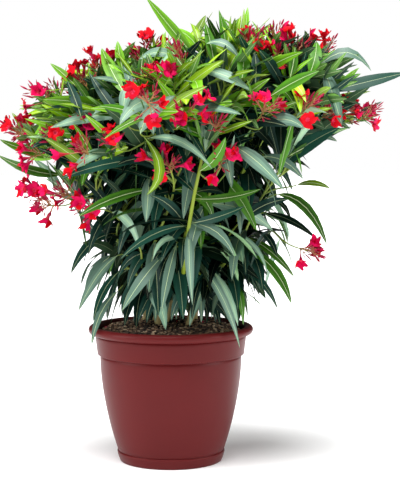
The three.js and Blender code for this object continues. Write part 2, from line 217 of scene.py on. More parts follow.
# Single long leaves, placed one by one: foot, bend, tip, width, class, and shade from the darkest,
# 0, to the palest, 4, partly painted light and shade. Most stand out of the crown, and the dark ones
# are painted shade that closes gaps low in it.
LONG_LEAVES = (
    ((48, -70, 750), (6, -76, 800), (-44, -70, 862), 27, "fresh", 1),
    ((282, -112, 688), (350, -112, 706), (428, -90, 724), 27, "shade", 4),
    ((268, -80, 734), (322, -92, 790), (364, -86, 726), 24, "glaucous_sheen", 0),
    ((276, -124, 726), (288, -136, 690), (306, -138, 628), 26, "glaucous_sheen", 1),
    ((232, -50, 520), (264, -60, 532), (294, -60, 514), 13, "young", 0),
    ((194, -70, 504), (254, -84, 504), (286, -84, 412), 19, "mature", 0),
    ((112, -196, 592), (150, -250, 574), (196, -262, 518), 26, "glaucous_sheen", 1),
    ((232, -90, 610), (268, -96, 622), (302, -96, 600), 18, "glaucous_sheen", 0),
    ((204, -60, 566), (232, -70, 572), (256, -70, 550), 15, "deep_shade", 4),
    ((166, -110, 572), (206, -124, 578), (240, -118, 532), 18, "glaucous_sheen", 0),
    ((162, -206, 624), (198, -226, 652), (234, -218, 620), 24, "glaucous_sheen", 1),
    ((172, -60, 470), (226, -70, 464), (268, -76, 422), 15, "deep_shade", 4),
    ((190, -40, 492), (214, -46, 490), (224, -46, 450), 11, "deep_shade", 4),
    ((138, 0, 618), (176, 6, 600), (198, 10, 546), 28, "deep_shade", 3),
    ((128, 10, 562), (162, 16, 540), (178, 20, 482), 28, "deep_shade", 3),
    ((-196, -70, 540), (-256, -84, 540), (-312, -80, 576), 21, "mature", 1),
    ((-96, -60, 326), (-134, -84, 296), (-142, -98, 230), 15, "glaucous_sheen", 0),
    ((52, -100, 382), (104, -128, 330), (127, -122, 228), 18, "glaucous_sheen", 1),
    ((-104, -40, 392), (-146, -56, 372), (-158, -60, 304), 20, "glaucous_sheen", 0),
    ((-110, -30, 430), (-160, -40, 420), (-184, -44, 356), 19, "shade", 2),
    ((150, -60, 400), (202, -76, 372), (222, -80, 304), 20, "mature", 1),
    ((140, -50, 424), (186, -70, 410), (228, -74, 352), 17, "mature", 1),
    ((130, -40, 372), (176, -60, 350), (198, -70, 292), 17, "shade", 3),
    ((-96, -60, 360), (-128, -76, 332), (-140, -84, 272), 16, "shade", 3),
    ((-96, -70, 392), (-136, -96, 366), (-166, -96, 292), 20, "glaucous_sheen", 1),
    ((34, -166, 452), (-30, -204, 452), (-84, -206, 395), 17, "shade", 4),
    ((-10, -140, 398), (-46, -196, 366), (-80, -196, 306), 23, "glaucous_sheen", 0),
    ((36, -162, 446), (34, -208, 400), (42, -206, 316), 21, "glaucous_sheen", 1),
    ((38, -166, 456), (92, -204, 456), (114, -206, 402), 19, "glaucous_sheen", 0),
    ((14, -150, 420), (-2, -198, 372), (-12, -198, 302), 19, "glaucous_sheen", 0),
    ((44, -180, 500), (104, -222, 496), (160, -216, 518), 17, "mature", 1),
    ((38, -168, 456), (88, -208, 466), (132, -206, 488), 17, "shade", 4),
    ((-30, -160, 516), (-100, -198, 508), (-158, -190, 468), 18, "mature", 1),
    ((-40, -226, 606), (12, -264, 548), (-36, -252, 508), 19, "young", 1),
    ((-34, -160, 538), (-34, -210, 508), (-38, -208, 460), 24, "glaucous_sheen", 1),
    ((-46, -240, 612), (-36, -284, 652), (14, -286, 674), 26, "glaucous_sheen", 2),
    ((-34, -226, 604), (26, -264, 618), (76, -256, 552), 21, "glaucous_sheen", 2),
    ((-24, -226, 636), (30, -262, 654), (58, -258, 646), 20, "fresh", 3),
    ((54, -206, 548), (88, -246, 566), (98, -250, 606), 21, "mature", 4),
    ((-100, -160, 584), (-136, -206, 582), (-167, -200, 548), 19, "glaucous_sheen", 3),
    ((-34, -190, 568), (-110, -214, 568), (-188, -190, 534), 19, "shade", 4),
    ((-68, -220, 626), (-106, -228, 668), (-138, -176, 720), 19, "shade", 2),
    ((-150, -194, 640), (-160, -186, 674), (-178, -150, 706), 18, "shade", 2),
    ((-64, -232, 692), (-74, -252, 678), (-74, -246, 644), 21, "glaucous_sheen", 2),
    ((-74, -200, 680), (-102, -176, 724), (-120, -110, 766), 26, "fresh", 1),
    ((-36, -220, 649), (-64, -206, 694), (-80, -152, 738), 19, "glaucous_sheen", 1),
    ((-82, -110, 724), (-90, -104, 754), (-93, -90, 780), 17, "fresh", 2),
    ((-168, -110, 700), (-192, -104, 724), (-214, -92, 740), 19, "fresh", 1),
    ((16, -130, 742), (-16, -140, 772), (-54, -134, 742), 20, "glaucous_sheen", 2),
    ((80, -140, 736), (74, -130, 778), (64, -100, 812), 20, "mature", 2),
    ((126, -200, 698), (132, -190, 740), (134, -130, 778), 23, "mature", 3),
    ((150, -196, 698), (154, -190, 728), (150, -160, 754), 19, "shade", 1),
    ((246, -160, 716), (260, -160, 748), (262, -110, 778), 24, "mature", 3),
    ((172, -220, 674), (220, -226, 706), (260, -196, 720), 20, "mature", 3),
    ((210, -190, 708), (219, -184, 740), (222, -140, 766), 17, "mature", 1),
    ((56, -190, 722), (100, -226, 718), (142, -226, 684), 24, "glaucous_sheen", 2),
    ((66, -130, 772), (100, -150, 784), (124, -150, 744), 19, "glaucous_sheen", 1),
    ((-192, -40, 580), (-250, -60, 572), (-308, -84, 604), 22, "fresh", 0),
    ((-70, 10, 540), (-104, 20, 532), (-140, 24, 486), 26, "deep_shade", 3),
    ((-56, 10, 508), (-84, 24, 496), (-112, 30, 446), 26, "deep_shade", 4),
    ((-90, 0, 562), (-130, 8, 548), (-162, 10, 500), 24, "shade", 0),
    ((-40, 30, 548), (-74, 40, 524), (-96, 44, 462), 26, "deep_shade", 3),
    ((-100, -40, 476), (-136, -60, 458), (-150, -64, 392), 20, "shade", 1),
    ((-60, -60, 560), (-96, -76, 542), (-126, -80, 482), 20, "shade", 2),
    ((-52, 84, 340), (-60, 120, 312), (-56, 132, 258), 20, "deep_shade", 2),
    ((-20, 90, 336), (-24, 128, 308), (-30, 136, 256), 21, "deep_shade", 3),
    ((10, 90, 340), (8, 128, 312), (2, 138, 260), 20, "deep_shade", 2),
    ((64, 84, 336), (76, 116, 308), (84, 124, 258), 19, "deep_shade", 3),
    ((-56, -40, 344), (-76, -62, 312), (-84, -70, 262), 18, "shade", 1),
    ((-50, -44, 334), (-62, -66, 306), (-62, -74, 258), 17, "shade", 0),
    ((70, -30, 344), (84, -50, 312), (92, -58, 262), 17, "shade", 1),
)
# A bare foot that is longer than any twig.
NO_LEAVES = 1000
# Some leaves curl down further than their limb's habit.
CURLED_SHARE = 0.16
CURLED_DROOP = 55

# First keys of the limbs that the rule doesn't number, so that no two share their draws.
KEYS = {
    "spray": 60,
    "lead": 88,
    "bough": 90,
    "cane": 100,
    "wheel": 120,
    "long_leaf": 130,
    "rosette": 140,
    "long_twig": 170,
}

# Whorls straight on the wood: how many, the first one's distance from the tip, and their pitch.
BOUGH_WHORLS = (4, 10, 32)
CANE_WHORLS = (6, 14, 22)

# The crown's heart, from which the depth of a leaf is measured, and the angle of the cone in which
# others count as its neighbours.
HEART = np.array([30.0, 0.0, 520.0])
HEART_CONE = 13

# Leaves end above the mix inside the lip's radius, and may hang lower outside it.
LIP_CLEARANCE = 166
LEAF_FLOOR_INSIDE = 263
LEAF_FLOOR_OUTSIDE = 205

# Share of the shoots that flower, and how much further a flowering tip's leaves open.
BLOOM_SHARE = {"top": 0.3, "outer": 0.4, "side": 0.34, "skirt": 0.0}
BLOOM_WIDENS = 34


def chance(*keys):
    """A repeatable number from 0 to 1 for whole numbers: as a rule what is drawn, and for what."""
    h = SEED
    for key in keys:
        h = ((h ^ (int(key) + 0x9E3779B9)) * 0x85EBCA6B) & 0xFFFFFFFF
        h ^= h >> 13
        h = (h * 0xC2B2AE35) & 0xFFFFFFFF
        h ^= h >> 16
    return h / 4294967296


def between(low, high, *keys):
    """A repeatable number in a range."""
    return low + (high - low) * chance(*keys)


def lerp(a, b, t):
    return a + (b - a) * t


def unit(v):
    return v / np.linalg.norm(v)


def outwards(azimuth):
    """The level unit vector at an azimuth."""
    return np.array([math.cos(math.radians(azimuth)), math.sin(math.radians(azimuth)), 0.0])


def tilted(direction, sideways, degrees):
    """A unit vector leant over towards another that is square to it."""
    angle = math.radians(degrees)
    return direction * math.cos(angle) + sideways * math.sin(angle)


def turned(v, axis, degrees):
    """v turned about a unit axis by the right-hand rule."""
    angle = math.radians(degrees)
    c, s = math.cos(angle), math.sin(angle)
    return v * c + np.cross(axis, v) * s + axis * np.dot(axis, v) * (1 - c)


def across_from(direction):
    """A unit vector square to a direction."""
    away = UP if abs(direction[2]) < 0.9 else np.array([1.0, 0.0, 0.0])
    return unit(np.cross(away, direction))


def around(direction, degrees):
    """The unit vector square to a direction, turned about it."""
    return turned(across_from(direction), direction, degrees)


def flattened(v, normal):
    """v without its part along a unit normal, made a unit vector."""
    return unit(v - normal * np.dot(v, normal))


def bezier(points, ts):
    """Points on the cubic curve that four controls give."""
    a, b, c, d = points
    t = np.asarray(ts, float)[:, None]
    return (1 - t) ** 3 * a + 3 * t * (1 - t) ** 2 * b + 3 * t * t * (1 - t) * c + t**3 * d


def back_from(points, distance):
    """The point, and the way towards the tip, at a distance back along a run of points."""
    left = distance
    for i in range(len(points) - 1, 0, -1):
        step = points[i] - points[i - 1]
        length = np.linalg.norm(step)
        if left <= length:
            return points[i] - step * (left / length), step / length
        left -= length
    return None


def run_length(points):
    """The length of a run of points."""
    return float(np.linalg.norm(np.diff(points, axis=0), axis=1).sum())


def upper_mass(m, crown):
    """The place and lean of upper mass m, counted from the crown's middle outwards."""
    radius = crown.reach / MM * math.sqrt((m + 0.5) / (2 * crown.canes))
    azimuth = crown.first_azimuth + m * GOLDEN_ANGLE + between(-7, 7, 1, m)
    centre = outwards(azimuth) * radius
    centre[1] *= crown.depth_share
    centre[2] = crown.top / MM - crown.fall * radius + crown.rise * centre[0] + between(-12, 12, 2, m)
    centre[0] += crown.centre_x / MM
    lean = crown.edge_lean * radius / (crown.reach / MM)
    direction = tilted(UP, outwards(azimuth), lean)
    return {
        "radius": radius,
        "azimuth": azimuth,
        "lean": lean,
        "centre": centre,
        "direction": direction,
        "start": centre - direction * SHOOT_REACH,
    }


def stem_plan(k, inner, crown, soil_top):
    """Cane k, from the mix up to its fork: it leans a little towards its inner mass."""
    foot_radius = STEM_FOOT_RADIUS[k % 2] + between(-4, 4, 3, k)
    foot = outwards(inner["azimuth"] + between(-14, 14, 4, k)) * foot_radius
    foot[2] = soil_top + GAP
    fork = outwards(inner["azimuth"]) * (STEM_FORK_OUT + inner["radius"] * STEM_FORK_SHARE)
    fork[0] += crown.centre_x / MM * STEM_FORK_SHIFT
    fork[2] = crown.fork_height / MM + between(-16, 16, 5, k)
    direction = tilted(UP, outwards(inner["azimuth"]), inner["lean"] * STEM_FORK_LEAN + 4)
    low, high = STEM_PULL
    curve = (foot, foot + UP * low, fork - direction * high, fork)
    return {"curve": curve, "fork": fork, "direction": direction}


def stem_radius(t):
    """A cane's radius at a share of its height: a flared foot, then a slow taper."""
    if t < STEM_FLARE_LENGTH:
        return lerp(STEM_FLARE_RADIUS, STEM_RADIUS[0], t / STEM_FLARE_LENGTH)
    return lerp(*STEM_RADIUS, t)


def bough_curve(stem, mass, side):
    """A bough from one side of its cane's fork out to the foot of its mass."""
    seat = stem["fork"] + stem["direction"] * GAP + side * BOUGH_OFFSET
    start = mass["start"]
    low, high = BOUGH_PULL
    return (seat, seat + stem["direction"] * low, start - mass["direction"] * high, start)


def add_shoot(mass, tip, direction, crown):
    """The first shoot carries its mass's stem on; the others part from lower down on it."""
    number = len(mass["shoots"])
    stem = mass["stem"]
    fork = stem[-1]
    heading = unit(fork - stem[-2])
    start = back_from(stem, number * SHOOT_PARTING)[0] if number else fork
    reach = np.linalg.norm(tip - start)
    way = tilted(heading, flattened(tip - start, heading), SHOOT_TURN)
    curve = (start, start + way * reach * 0.35, tip - direction * reach * 0.4, tip)
    run = bezier(curve, np.linspace(0, 1, crown.shoot_rings + 1))
    axis = run if number else np.vstack([stem[:-1], run])
    blooms = chance(8, mass["index"], number) < BLOOM_SHARE[mass["kind"]]
    mass["shoots"].append(
        {"axis": axis, "tip": tip, "direction": direction, "blooms": blooms, "number": number}
    )


def upper_foliage(m, plan, crown):
    """A mass on a bough's tip: a short stem and a ring of shoots."""
    kind = "top" if m < crown.canes else "outer"
    base = plan["start"] + plan["direction"] * GAP
    stem = np.array([base, base + plan["direction"] * SHOOT_STEM])
    mass = {"index": m, "kind": kind, "stem": stem, "shoots": []}
    count = 2 if kind == "top" else 3
    for s in range(count):
        sideways = around(plan["direction"], 360 * s / count + between(0, 90, 6, m))
        ahead = between(-22, 14, 7, m, s)
        tip = plan["centre"] + sideways * SHOOT_SPREAD + plan["direction"] * ahead
        add_shoot(mass, tip, tilted(plan["direction"], sideways, SHOOT_SPLAY), crown)
    return mass


def side_foliage(index, kind, spec, stem, azimuth, crown):
    """A mass on the side of a cane: its stem grows out level and turns upwards."""
    at = spec["at"]
    before, seat, after = bezier(stem["curve"], [at - 0.001, at, at + 0.001])
    out = flattened(outwards(azimuth), unit(after - before))
    base = seat + out * (stem_radius(at) + GAP)
    bend = base + out * spec["out"] / 2
    fork = base + out * spec["out"] + UP * spec["up"]
    mass = {"index": index, "kind": kind, "stem": np.array([base, bend, fork]), "shoots": []}
    for s, place in enumerate(spec["tips"]):
        towards = azimuth + place["turn"]
        tip = outwards(towards) * (place["radius"] * between(0.92, 1.08, 10, index, s))
        tip[2] = place["z"] + crown.rise * tip[0] + between(-16, 16, 11, index, s)
        tip[0] += crown.centre_x * place["radius"] / crown.reach
        add_shoot(mass, tip, tilted(UP, outwards(towards), place["lean"]), crown)
    return mass


def node_points(name):
    """The vertices of a CAD node, in millimetres."""
    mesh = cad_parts[name].data
    points = np.zeros(len(mesh.vertices) * 3)
    mesh.vertices.foreach_get("co", points)
    return points.reshape(-1, 3) / MM


def settled_beside(name, index, kind, spec, stem, crown, bloom):
    """The side mass that stands where its node does, out of the turns it may take."""
    cloud = node_points(name)
    best, least = None, None
    for turn in spec["turns"]:
        mass = side_foliage(index, kind, spec, stem, stem["inner"]["azimuth"] + turn, crown)
        miss = 0
        for shoot in mass["shoots"]:
            bare = bloom.stalk / MM if shoot["blooms"] else 0
            end = shoot["tip"] + shoot["direction"] * bare
            miss = max(miss, np.linalg.norm(cloud - end, axis=1).min())
        if least is None or miss < least:
            best, least = mass, miss
    return best


def plan_plant(scene):
    """Every cane, bough and foliage mass of the plant, from the settings."""
    crown, bloom = scene.oleander_crown, scene.oleander_bloom
    soil_top = scene.oleander_pot.soil_height / MM
    stems, boughs, masses = [], [], []
    for k in range(crown.canes):
        inner, outer = upper_mass(k, crown), upper_mass(k + crown.canes, crown)
        stem = stem_plan(k, inner, crown, soil_top)
        stem["inner"] = inner
        stems.append(stem)
        side = flattened(outer["start"] - inner["start"], stem["direction"])
        boughs.append([bough_curve(stem, inner, -side), bough_curve(stem, outer, side)])
        masses.append(upper_foliage(k, inner, crown))
        masses.append(upper_foliage(k + crown.canes, outer, crown))
    for group, kind, spec in ((2, "side", SIDE), (3, "skirt", SKIRT)):
        for k in range(crown.canes):
            name = f"foliage_{k + 1}_{kind}"
            index = group * crown.canes + k
            masses.append(settled_beside(name, index, kind, spec, stems[k], crown, bloom))
    twigs = [leafy_shoot(mass, shoot, crown) for mass in masses for shoot in mass["shoots"]]
    twigs += [twig for mass in masses for twig in side_twigs(mass, crown)]
    for number, (*place, hue) in enumerate(SPRAYS):
        key = KEYS["spray"] + number
        twigs.append(reaching_twig(key, place, REACHING_BARE, SPRAY_STALK, hue, masses, crown))
    for number, place in enumerate(ROSETTES):
        key = KEYS["rosette"] + number
        twigs.append(reaching_twig(key, place, REACHING_BARE, 0, None, masses, crown))
    for number, (foot, *_) in enumerate(LONG_LEAVES):
        key = KEYS["long_twig"] + number
        twigs.append(reaching_twig(key, foot, NO_LEAVES, 0, None, masses, crown))
    twigs.append(lead_twig())
    return {"stems": stems, "boughs": boughs, "masses": masses, "twigs": twigs}


def face_share(point, crown):
    """How far out a point lies: 1 is on the crown's face."""
    middle = np.interp(point[2], FACE_HEIGHTS, FACE_MIDDLES)
    radius = np.interp(point[2], FACE_HEIGHTS, FACE_RADII)
    over = max(0.0, point[2] - FACE_HEIGHTS[-1]) / 30
    return math.hypot(point[0] - middle, point[1] / crown.depth_share) / radius + over


def make_twig(keys, kind, axis, direction, radius, bare, size, stalk=0, hue=None):
    """A twig: bare is the leafless length at its foot, and stalk that of its flower head's stalk."""
    return {
        "keys": keys,
        "kind": kind,
        "axis": axis,
        "tip": axis[-1],
        "direction": direction,
        "radius": radius,
        "bare": bare,
        "size": size,
        "stalk": stalk,
        "hue": hue,
    }


def leafy_shoot(mass, shoot, crown):
    """A main shoot of a mass, as a twig that bears leaves and perhaps a flower head."""
    number = shoot["number"]
    stalk, shortest, step = HEAD_STALK
    while stalk > shortest and face_share(shoot["tip"] + shoot["direction"] * stalk, crown) > HEAD_LIMIT:
        stalk -= step
    radius = (SHOOT_RADIUS[0] if number else LEADER_RADIUS, SHOOT_RADIUS[1])
    keys = (mass["index"], number)
    bare = SHOOT_BARE if number else LEADER_BARE
    stalk = stalk if shoot["blooms"] else 0
    return make_twig(keys, mass["kind"], shoot["axis"], shoot["direction"], radius, bare, 1.0, stalk)


def side_twigs(mass, crown):
    """Finer twigs that part from the shoots of a mass and turn back upwards."""
    twigs = []
    for shoot in mass["shoots"]:
        for j, at in enumerate(TWIG_STATIONS[mass["kind"]]):
            keys = (mass["index"], 10 + 10 * shoot["number"] + j)
            place = back_from(shoot["axis"], at + between(-10, 10, 70, *keys))
            if place is None:
                continue
            root, way = place
            start = tilted(way, around(way, 360 * chance(71, *keys)), TWIG_PARTING)
            end = unit(start * 0.7 + way * 0.4 + UP * 0.2)
            size = between(*TWIG_LENGTH, 72, *keys)
            tip = root + unit(start + end) * size
            if face_share(tip, crown) > TWIG_LIMIT:
                continue
            curve = (root, root + start * size * 0.4, tip - end * size * 0.3, tip)
            axis = bezier(curve, np.linspace(0, 1, TWIG_RINGS))
            twigs.append(make_twig(keys, mass["kind"], axis, end, TWIG_RADIUS, TWIG_BARE, 0.86))
    return twigs


def reaching_twig(key, place, bare, stalk, hue, masses, crown):
    """A long twig out to a place, from the shoot that lies best for it."""
    tip = np.array(place, float)
    middle = np.array([crown.centre_x / MM * 0.7, 0.0, HEART[2]])
    out = unit(tip - middle + UP * 60)
    tip = tip - out * (SPRAY_STALK + 8 if stalk else 0)
    best, least = None, None
    for mass in masses:
        for shoot in mass["shoots"]:
            for at in REACHING_FROM:
                found = back_from(shoot["axis"], at)
                if found is None:
                    continue
                reach = tip - found[0]
                away = np.linalg.norm(reach)
                miss = abs(away - REACHING_LENGTH) + 60 * (1 - np.dot(reach / away, out))
                if least is None or miss < least:
                    best, least = (found, away), miss
    (root, way), away = best
    way = unit(way + unit(tip - root) * 1.4)
    curve = (root, root + way * away * 0.4, tip - out * away * 0.35, tip)
    axis = bezier(curve, np.linspace(0, 1, TWIG_RINGS + 3))
    size = 0.8 if stalk else 0.96
    return make_twig((key, 0), "outer", axis, out, TWIG_RADIUS, bare, size, stalk, hue)


def lead_twig():
    """The bright shoot in front, with leaves only at its tip."""
    axis = bezier(LEAD_SHOOT, np.linspace(0, 1, LEAD_RINGS))
    direction = unit(LEAD_SHOOT[3] - LEAD_SHOOT[2])
    return make_twig((KEYS["lead"], 0), "outer", axis, direction, LEAD_RADIUS, LEAD_BARE, 0.9)


# ---- Meshes from arrays ----


class Shape:
    """Vertices and faces gathered from many small bodies, each face with a material slot."""

    def __init__(self):
        self.points, self.loops, self.sizes, self.slots, self.count = [], [], [], [], 0

    def add(self, points, faces, slots):
        """faces is a list of (array of equal polygons); slots gives one slot for each array."""
        for polygons, slot in zip(faces, slots):
            polygons = np.asarray(polygons, np.int32)
            self.loops.append((polygons + self.count).ravel())
            self.sizes.append(np.full(len(polygons), polygons.shape[1], np.int32))
            filled = np.full(len(polygons), slot, np.int32) if np.isscalar(slot) else slot
            self.slots.append(np.asarray(filled, np.int32))
        self.points.append(np.asarray(points, float))
        self.count += len(points)

    def add_copies(self, points, faces, slots):
        """points is copies x vertices x 3; slots is copies long for each face array, or a number."""
        copies, vertices = points.shape[:2]
        shift = (np.arange(copies) * vertices)[:, None, None]
        stacked, dealt = [], []
        for polygons, slot in zip(faces, slots):
            polygons = np.asarray(polygons, np.int32)
            stacked.append((polygons[None] + shift).reshape(-1, polygons.shape[1]))
            each = np.full(copies, slot) if np.isscalar(slot) else np.asarray(slot)
            dealt.append(np.repeat(each, len(polygons)))
        self.add(points.reshape(-1, 3), stacked, dealt)

    def build(self, name, materials, sharp_degrees):
        """The piece that all the gathered bodies make, smooth but for its sharp edges."""
        mesh = bpy.data.meshes.new(name)
        points = np.concatenate(self.points) * MM
        loops = np.concatenate(self.loops)
        sizes = np.concatenate(self.sizes)
        mesh.vertices.add(len(points))
        mesh.vertices.foreach_set("co", points.ravel().astype(np.float32))
        mesh.loops.add(len(loops))
        mesh.loops.foreach_set("vertex_index", loops)
        mesh.polygons.add(len(sizes))
        starts = np.concatenate([[0], np.cumsum(sizes)[:-1]]).astype(np.int32)
        mesh.polygons.foreach_set("loop_start", starts)
        mesh.polygons.foreach_set("material_index", np.concatenate(self.slots))
        mesh.polygons.foreach_set("use_smooth", np.ones(len(sizes), bool))
        mesh.update(calc_edges=True)
        mesh.validate()
        mesh.set_sharp_from_angle(angle=math.radians(sharp_degrees))
        for material in materials:
            mesh.materials.append(material)
        piece = bpy.data.objects.new(name, mesh)
        bpy.context.scene.collection.objects.link(piece)
        return piece


def tube(shape, points, radii, sides, slot):
    """A closed tube through points; radii may be one number for each ring or for each vertex."""
    points = np.asarray(points, float)
    rings = len(points)
    radii = np.asarray(radii, float).reshape(rings, -1)
    ways = np.gradient(points, axis=0)
    ways /= np.linalg.norm(ways, axis=1)[:, None]
    normal = across_from(ways[0])
    angles = np.linspace(0, 2 * math.pi, sides, endpoint=False)
    body = np.zeros((rings, sides, 3))
    for i in range(rings):
        normal = flattened(normal, ways[i])
        other = np.cross(ways[i], normal)
        spokes = np.cos(angles)[:, None] * normal + np.sin(angles)[:, None] * other
        body[i] = points[i] + spokes * radii[i][:, None]
    i, j = np.meshgrid(np.arange(rings - 1), np.arange(sides), indexing="ij")
    a, b = i * sides + j, i * sides + (j + 1) % sides
    quads = np.stack([a, b, b + sides, a + sides], -1).reshape(-1, 4)
    first = np.arange(sides)[::-1][None]
    last = (np.arange(sides) + (rings - 1) * sides)[None]
    shape.add(body.reshape(-1, 3), [quads, first, last], [slot, slot, slot])


def settle(piece, nodes=()):
    """Makes a finished piece ride on the plant and stand for its CAD nodes."""
    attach(piece, "root")
    if nodes:
        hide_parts(*nodes)
    return piece


# ---- Materials ----


def linear(colour):
    """A display colour, 0 to 255, as Blender's linear values."""
    values = []
    for c in colour:
        c /= 255
        values.append(c / 12.92 if c <= 0.04045 else ((c + 0.055) / 1.055) ** 2.4)
    return values


def set_inputs(node, values):
    for name, value in values.items():
        node.inputs[name].default_value = value


def plain_material(name, colour, roughness, specular=0.5):
    """A single finish with a plain colour."""
    material = bpy.data.materials.new(name)
    material.use_nodes = True
    finish = {"Base Color": (*colour, 1), "Roughness": roughness, "Specular IOR Level": specular}
    set_inputs(material.node_tree.nodes["Principled BSDF"], finish)
    return material


def mottle_group():
    """Two noises on object coordinates: broad patches, and fine grain for relief."""
    found = bpy.data.node_groups.get("surface_mottle")
    if found:
        return found
    group = bpy.data.node_groups.new("surface_mottle", "ShaderNodeTree")
    for name, value in (("Patch Scale", 20.0), ("Grain Scale", 400.0)):
        group.interface.new_socket(name, in_out="INPUT", socket_type="NodeSocketFloat").default_value = value
    for name in ("Patches", "Grain"):
        group.interface.new_socket(name, in_out="OUTPUT", socket_type="NodeSocketFloat")
    nodes, links = group.nodes, group.links
    start, end = nodes.new("NodeGroupInput"), nodes.new("NodeGroupOutput")
    place = nodes.new("ShaderNodeTexCoord")
    for label, out, detail in (("Patch Scale", "Patches", 4.0), ("Grain Scale", "Grain", 2.0)):
        noise = nodes.new("ShaderNodeTexNoise")
        noise.inputs["Detail"].default_value = detail
        links.new(place.outputs["Object"], noise.inputs["Vector"])
        links.new(start.outputs[label], noise.inputs["Scale"])
        links.new(noise.outputs["Fac"], end.inputs[out])
    return group


def ramp(nodes, links, source, stops):
    """A colour ramp fed by a value: stops are (position, colour or value)."""
    node = nodes.new("ShaderNodeValToRGB")
    elements = node.color_ramp.elements
    while len(elements) < len(stops):
        elements.new(0.5)
    for element, (position, value) in zip(elements, stops):
        element.position = position
        colour = value if isinstance(value, (tuple, list)) else (value, value, value)
        element.color = (*colour, 1)
    links.new(source, node.inputs["Fac"])
    return node.outputs["Color"]


def grained_material(name, patch_scale, grain_scale, strength, depth):
    """A material with the mottle in it and its grain as relief: its tree, surface and patches."""
    material = bpy.data.materials.new(name)
    material.use_nodes = True
    nodes, links = material.node_tree.nodes, material.node_tree.links
    surface = nodes["Principled BSDF"]
    mottle = nodes.new("ShaderNodeGroup")
    mottle.node_tree = mottle_group()
    set_inputs(mottle, {"Patch Scale": patch_scale, "Grain Scale": grain_scale})
    bump = nodes.new("ShaderNodeBump")
    set_inputs(bump, {"Strength": strength, "Distance": depth})
    links.new(mottle.outputs["Grain"], bump.inputs["Height"])
    links.new(bump.outputs["Normal"], surface.inputs["Normal"])
    return material, surface, mottle.outputs["Patches"]


def mottled_material(name, stops, roughness, *grain):
    """Base colour and roughness from broad patches, with fine relief."""
    material, surface, patches = grained_material(name, *grain)
    nodes, links = material.node_tree.nodes, material.node_tree.links
    links.new(ramp(nodes, links, patches, stops), surface.inputs["Base Color"])
    spread = [(0.3, roughness[0]), (0.7, roughness[1])]
    links.new(ramp(nodes, links, patches, spread), surface.inputs["Roughness"])
    return material


def pot_material(pot):
    """Maroon plastic, satin and faintly mottled."""
    stops = [(0.3, [c * 0.94 for c in pot.colour]), (0.7, [c * 1.06 for c in pot.colour])]
    material = mottled_material("maroon_plastic", stops, (0.36, 0.44), 9.0, 900.0, 0.12, 0.0004)
    set_inputs(material.node_tree.nodes["Principled BSDF"], {"Specular IOR Level": 0.13})
    return material


def bark_material(name, low, high):
    """Bark that goes from straw at the mix to bright green higher up, in patches."""
    material, surface, patches = grained_material(name, 60.0, 700.0, 0.35, 0.0006)
    nodes, links = material.node_tree.nodes, material.node_tree.links
    place, split = nodes.new("ShaderNodeTexCoord"), nodes.new("ShaderNodeSeparateXYZ")
    links.new(place.outputs["Object"], split.inputs["Vector"])
    height = nodes.new("ShaderNodeMapRange")
    set_inputs(height, {"From Min": low, "From Max": high})
    links.new(split.outputs["Z"], height.inputs["Value"])
    shift = nodes.new("ShaderNodeMath")
    shift.operation = "MULTIPLY_ADD"
    links.new(patches, shift.inputs[0])
    shift.inputs[1].default_value = 0.7
    links.new(height.outputs["Result"], shift.inputs[2])
    shades = ((0.25, (172, 152, 100)), (0.55, (198, 184, 122)), (0.85, (158, 172, 70)), (1.0, (150, 178, 52)))
    stops = [(position, linear(colour)) for position, colour in shades]
    links.new(ramp(nodes, links, shift.outputs["Value"], stops), surface.inputs["Base Color"])
    set_inputs(surface, {"Roughness": 0.62})
    return material


# ---- Settings ----


def length(name, description, default):
    return bpy.props.FloatProperty(name=name, description=description, default=default, unit="LENGTH")


def share(name, description, default):
    return bpy.props.FloatProperty(name=name, description=description, default=default)


def colour(name, description, rgb):
    return bpy.props.FloatVectorProperty(
        name=name, description=description, default=linear(rgb), size=3, subtype="COLOR", min=0, max=1
    )


class OleanderPotSettings(bpy.types.PropertyGroup):
    """Sizes and colours of the pot and what fills it."""

    foot_radius: length("Foot Radius", "Radius of the flat underside", 0.097)
    wall: length("Wall", "Thickness of the pot's wall", 0.004)
    floor: length("Floor", "Thickness of the pot's floor", 0.008)
    soil_height: length("Soil Height", "Height of the potting mix in the pot", 0.236)
    segments: bpy.props.IntProperty(name="Segments", description="Facets round the pot", default=144)
    chips: bpy.props.IntProperty(name="Chips", description="Bark chips on the mix", default=1500)
    colour: colour("Colour", "Colour of the plastic", (90, 23, 24))


class OleanderCrownSettings(bpy.types.PropertyGroup):
    """Size and shape of the plant."""

    canes: bpy.props.IntProperty(name="Canes", description="Canes that rise from the mix", default=8)
    shoot_rings: bpy.props.IntProperty(name="Shoot Rings", description="Rings along a shoot", default=9)
    reach: length("Reach", "From the crown's middle to its outermost shoots", 0.280)
    top: length("Top", "Height of the shoots at the crown's middle", 0.790)
    centre_x: length("Offset", "How far the crown stands to one side", 0.055)
    fork_height: length("Fork Height", "Height at which the canes fork", 0.448)
    depth_share: share("Depth", "Depth of the crown as a share of its width", 0.94)
    fall: share("Fall", "Drop of the dome for each length outwards", 0.42)
    rise: share("Rise", "Climb of the crown for each length to one side", 0.15)
    edge_lean: share("Edge Lean", "Lean of the outermost shoots in degrees", 52)
    first_azimuth: share("First Azimuth", "Where the spiral of shoots starts, in degrees", 262)


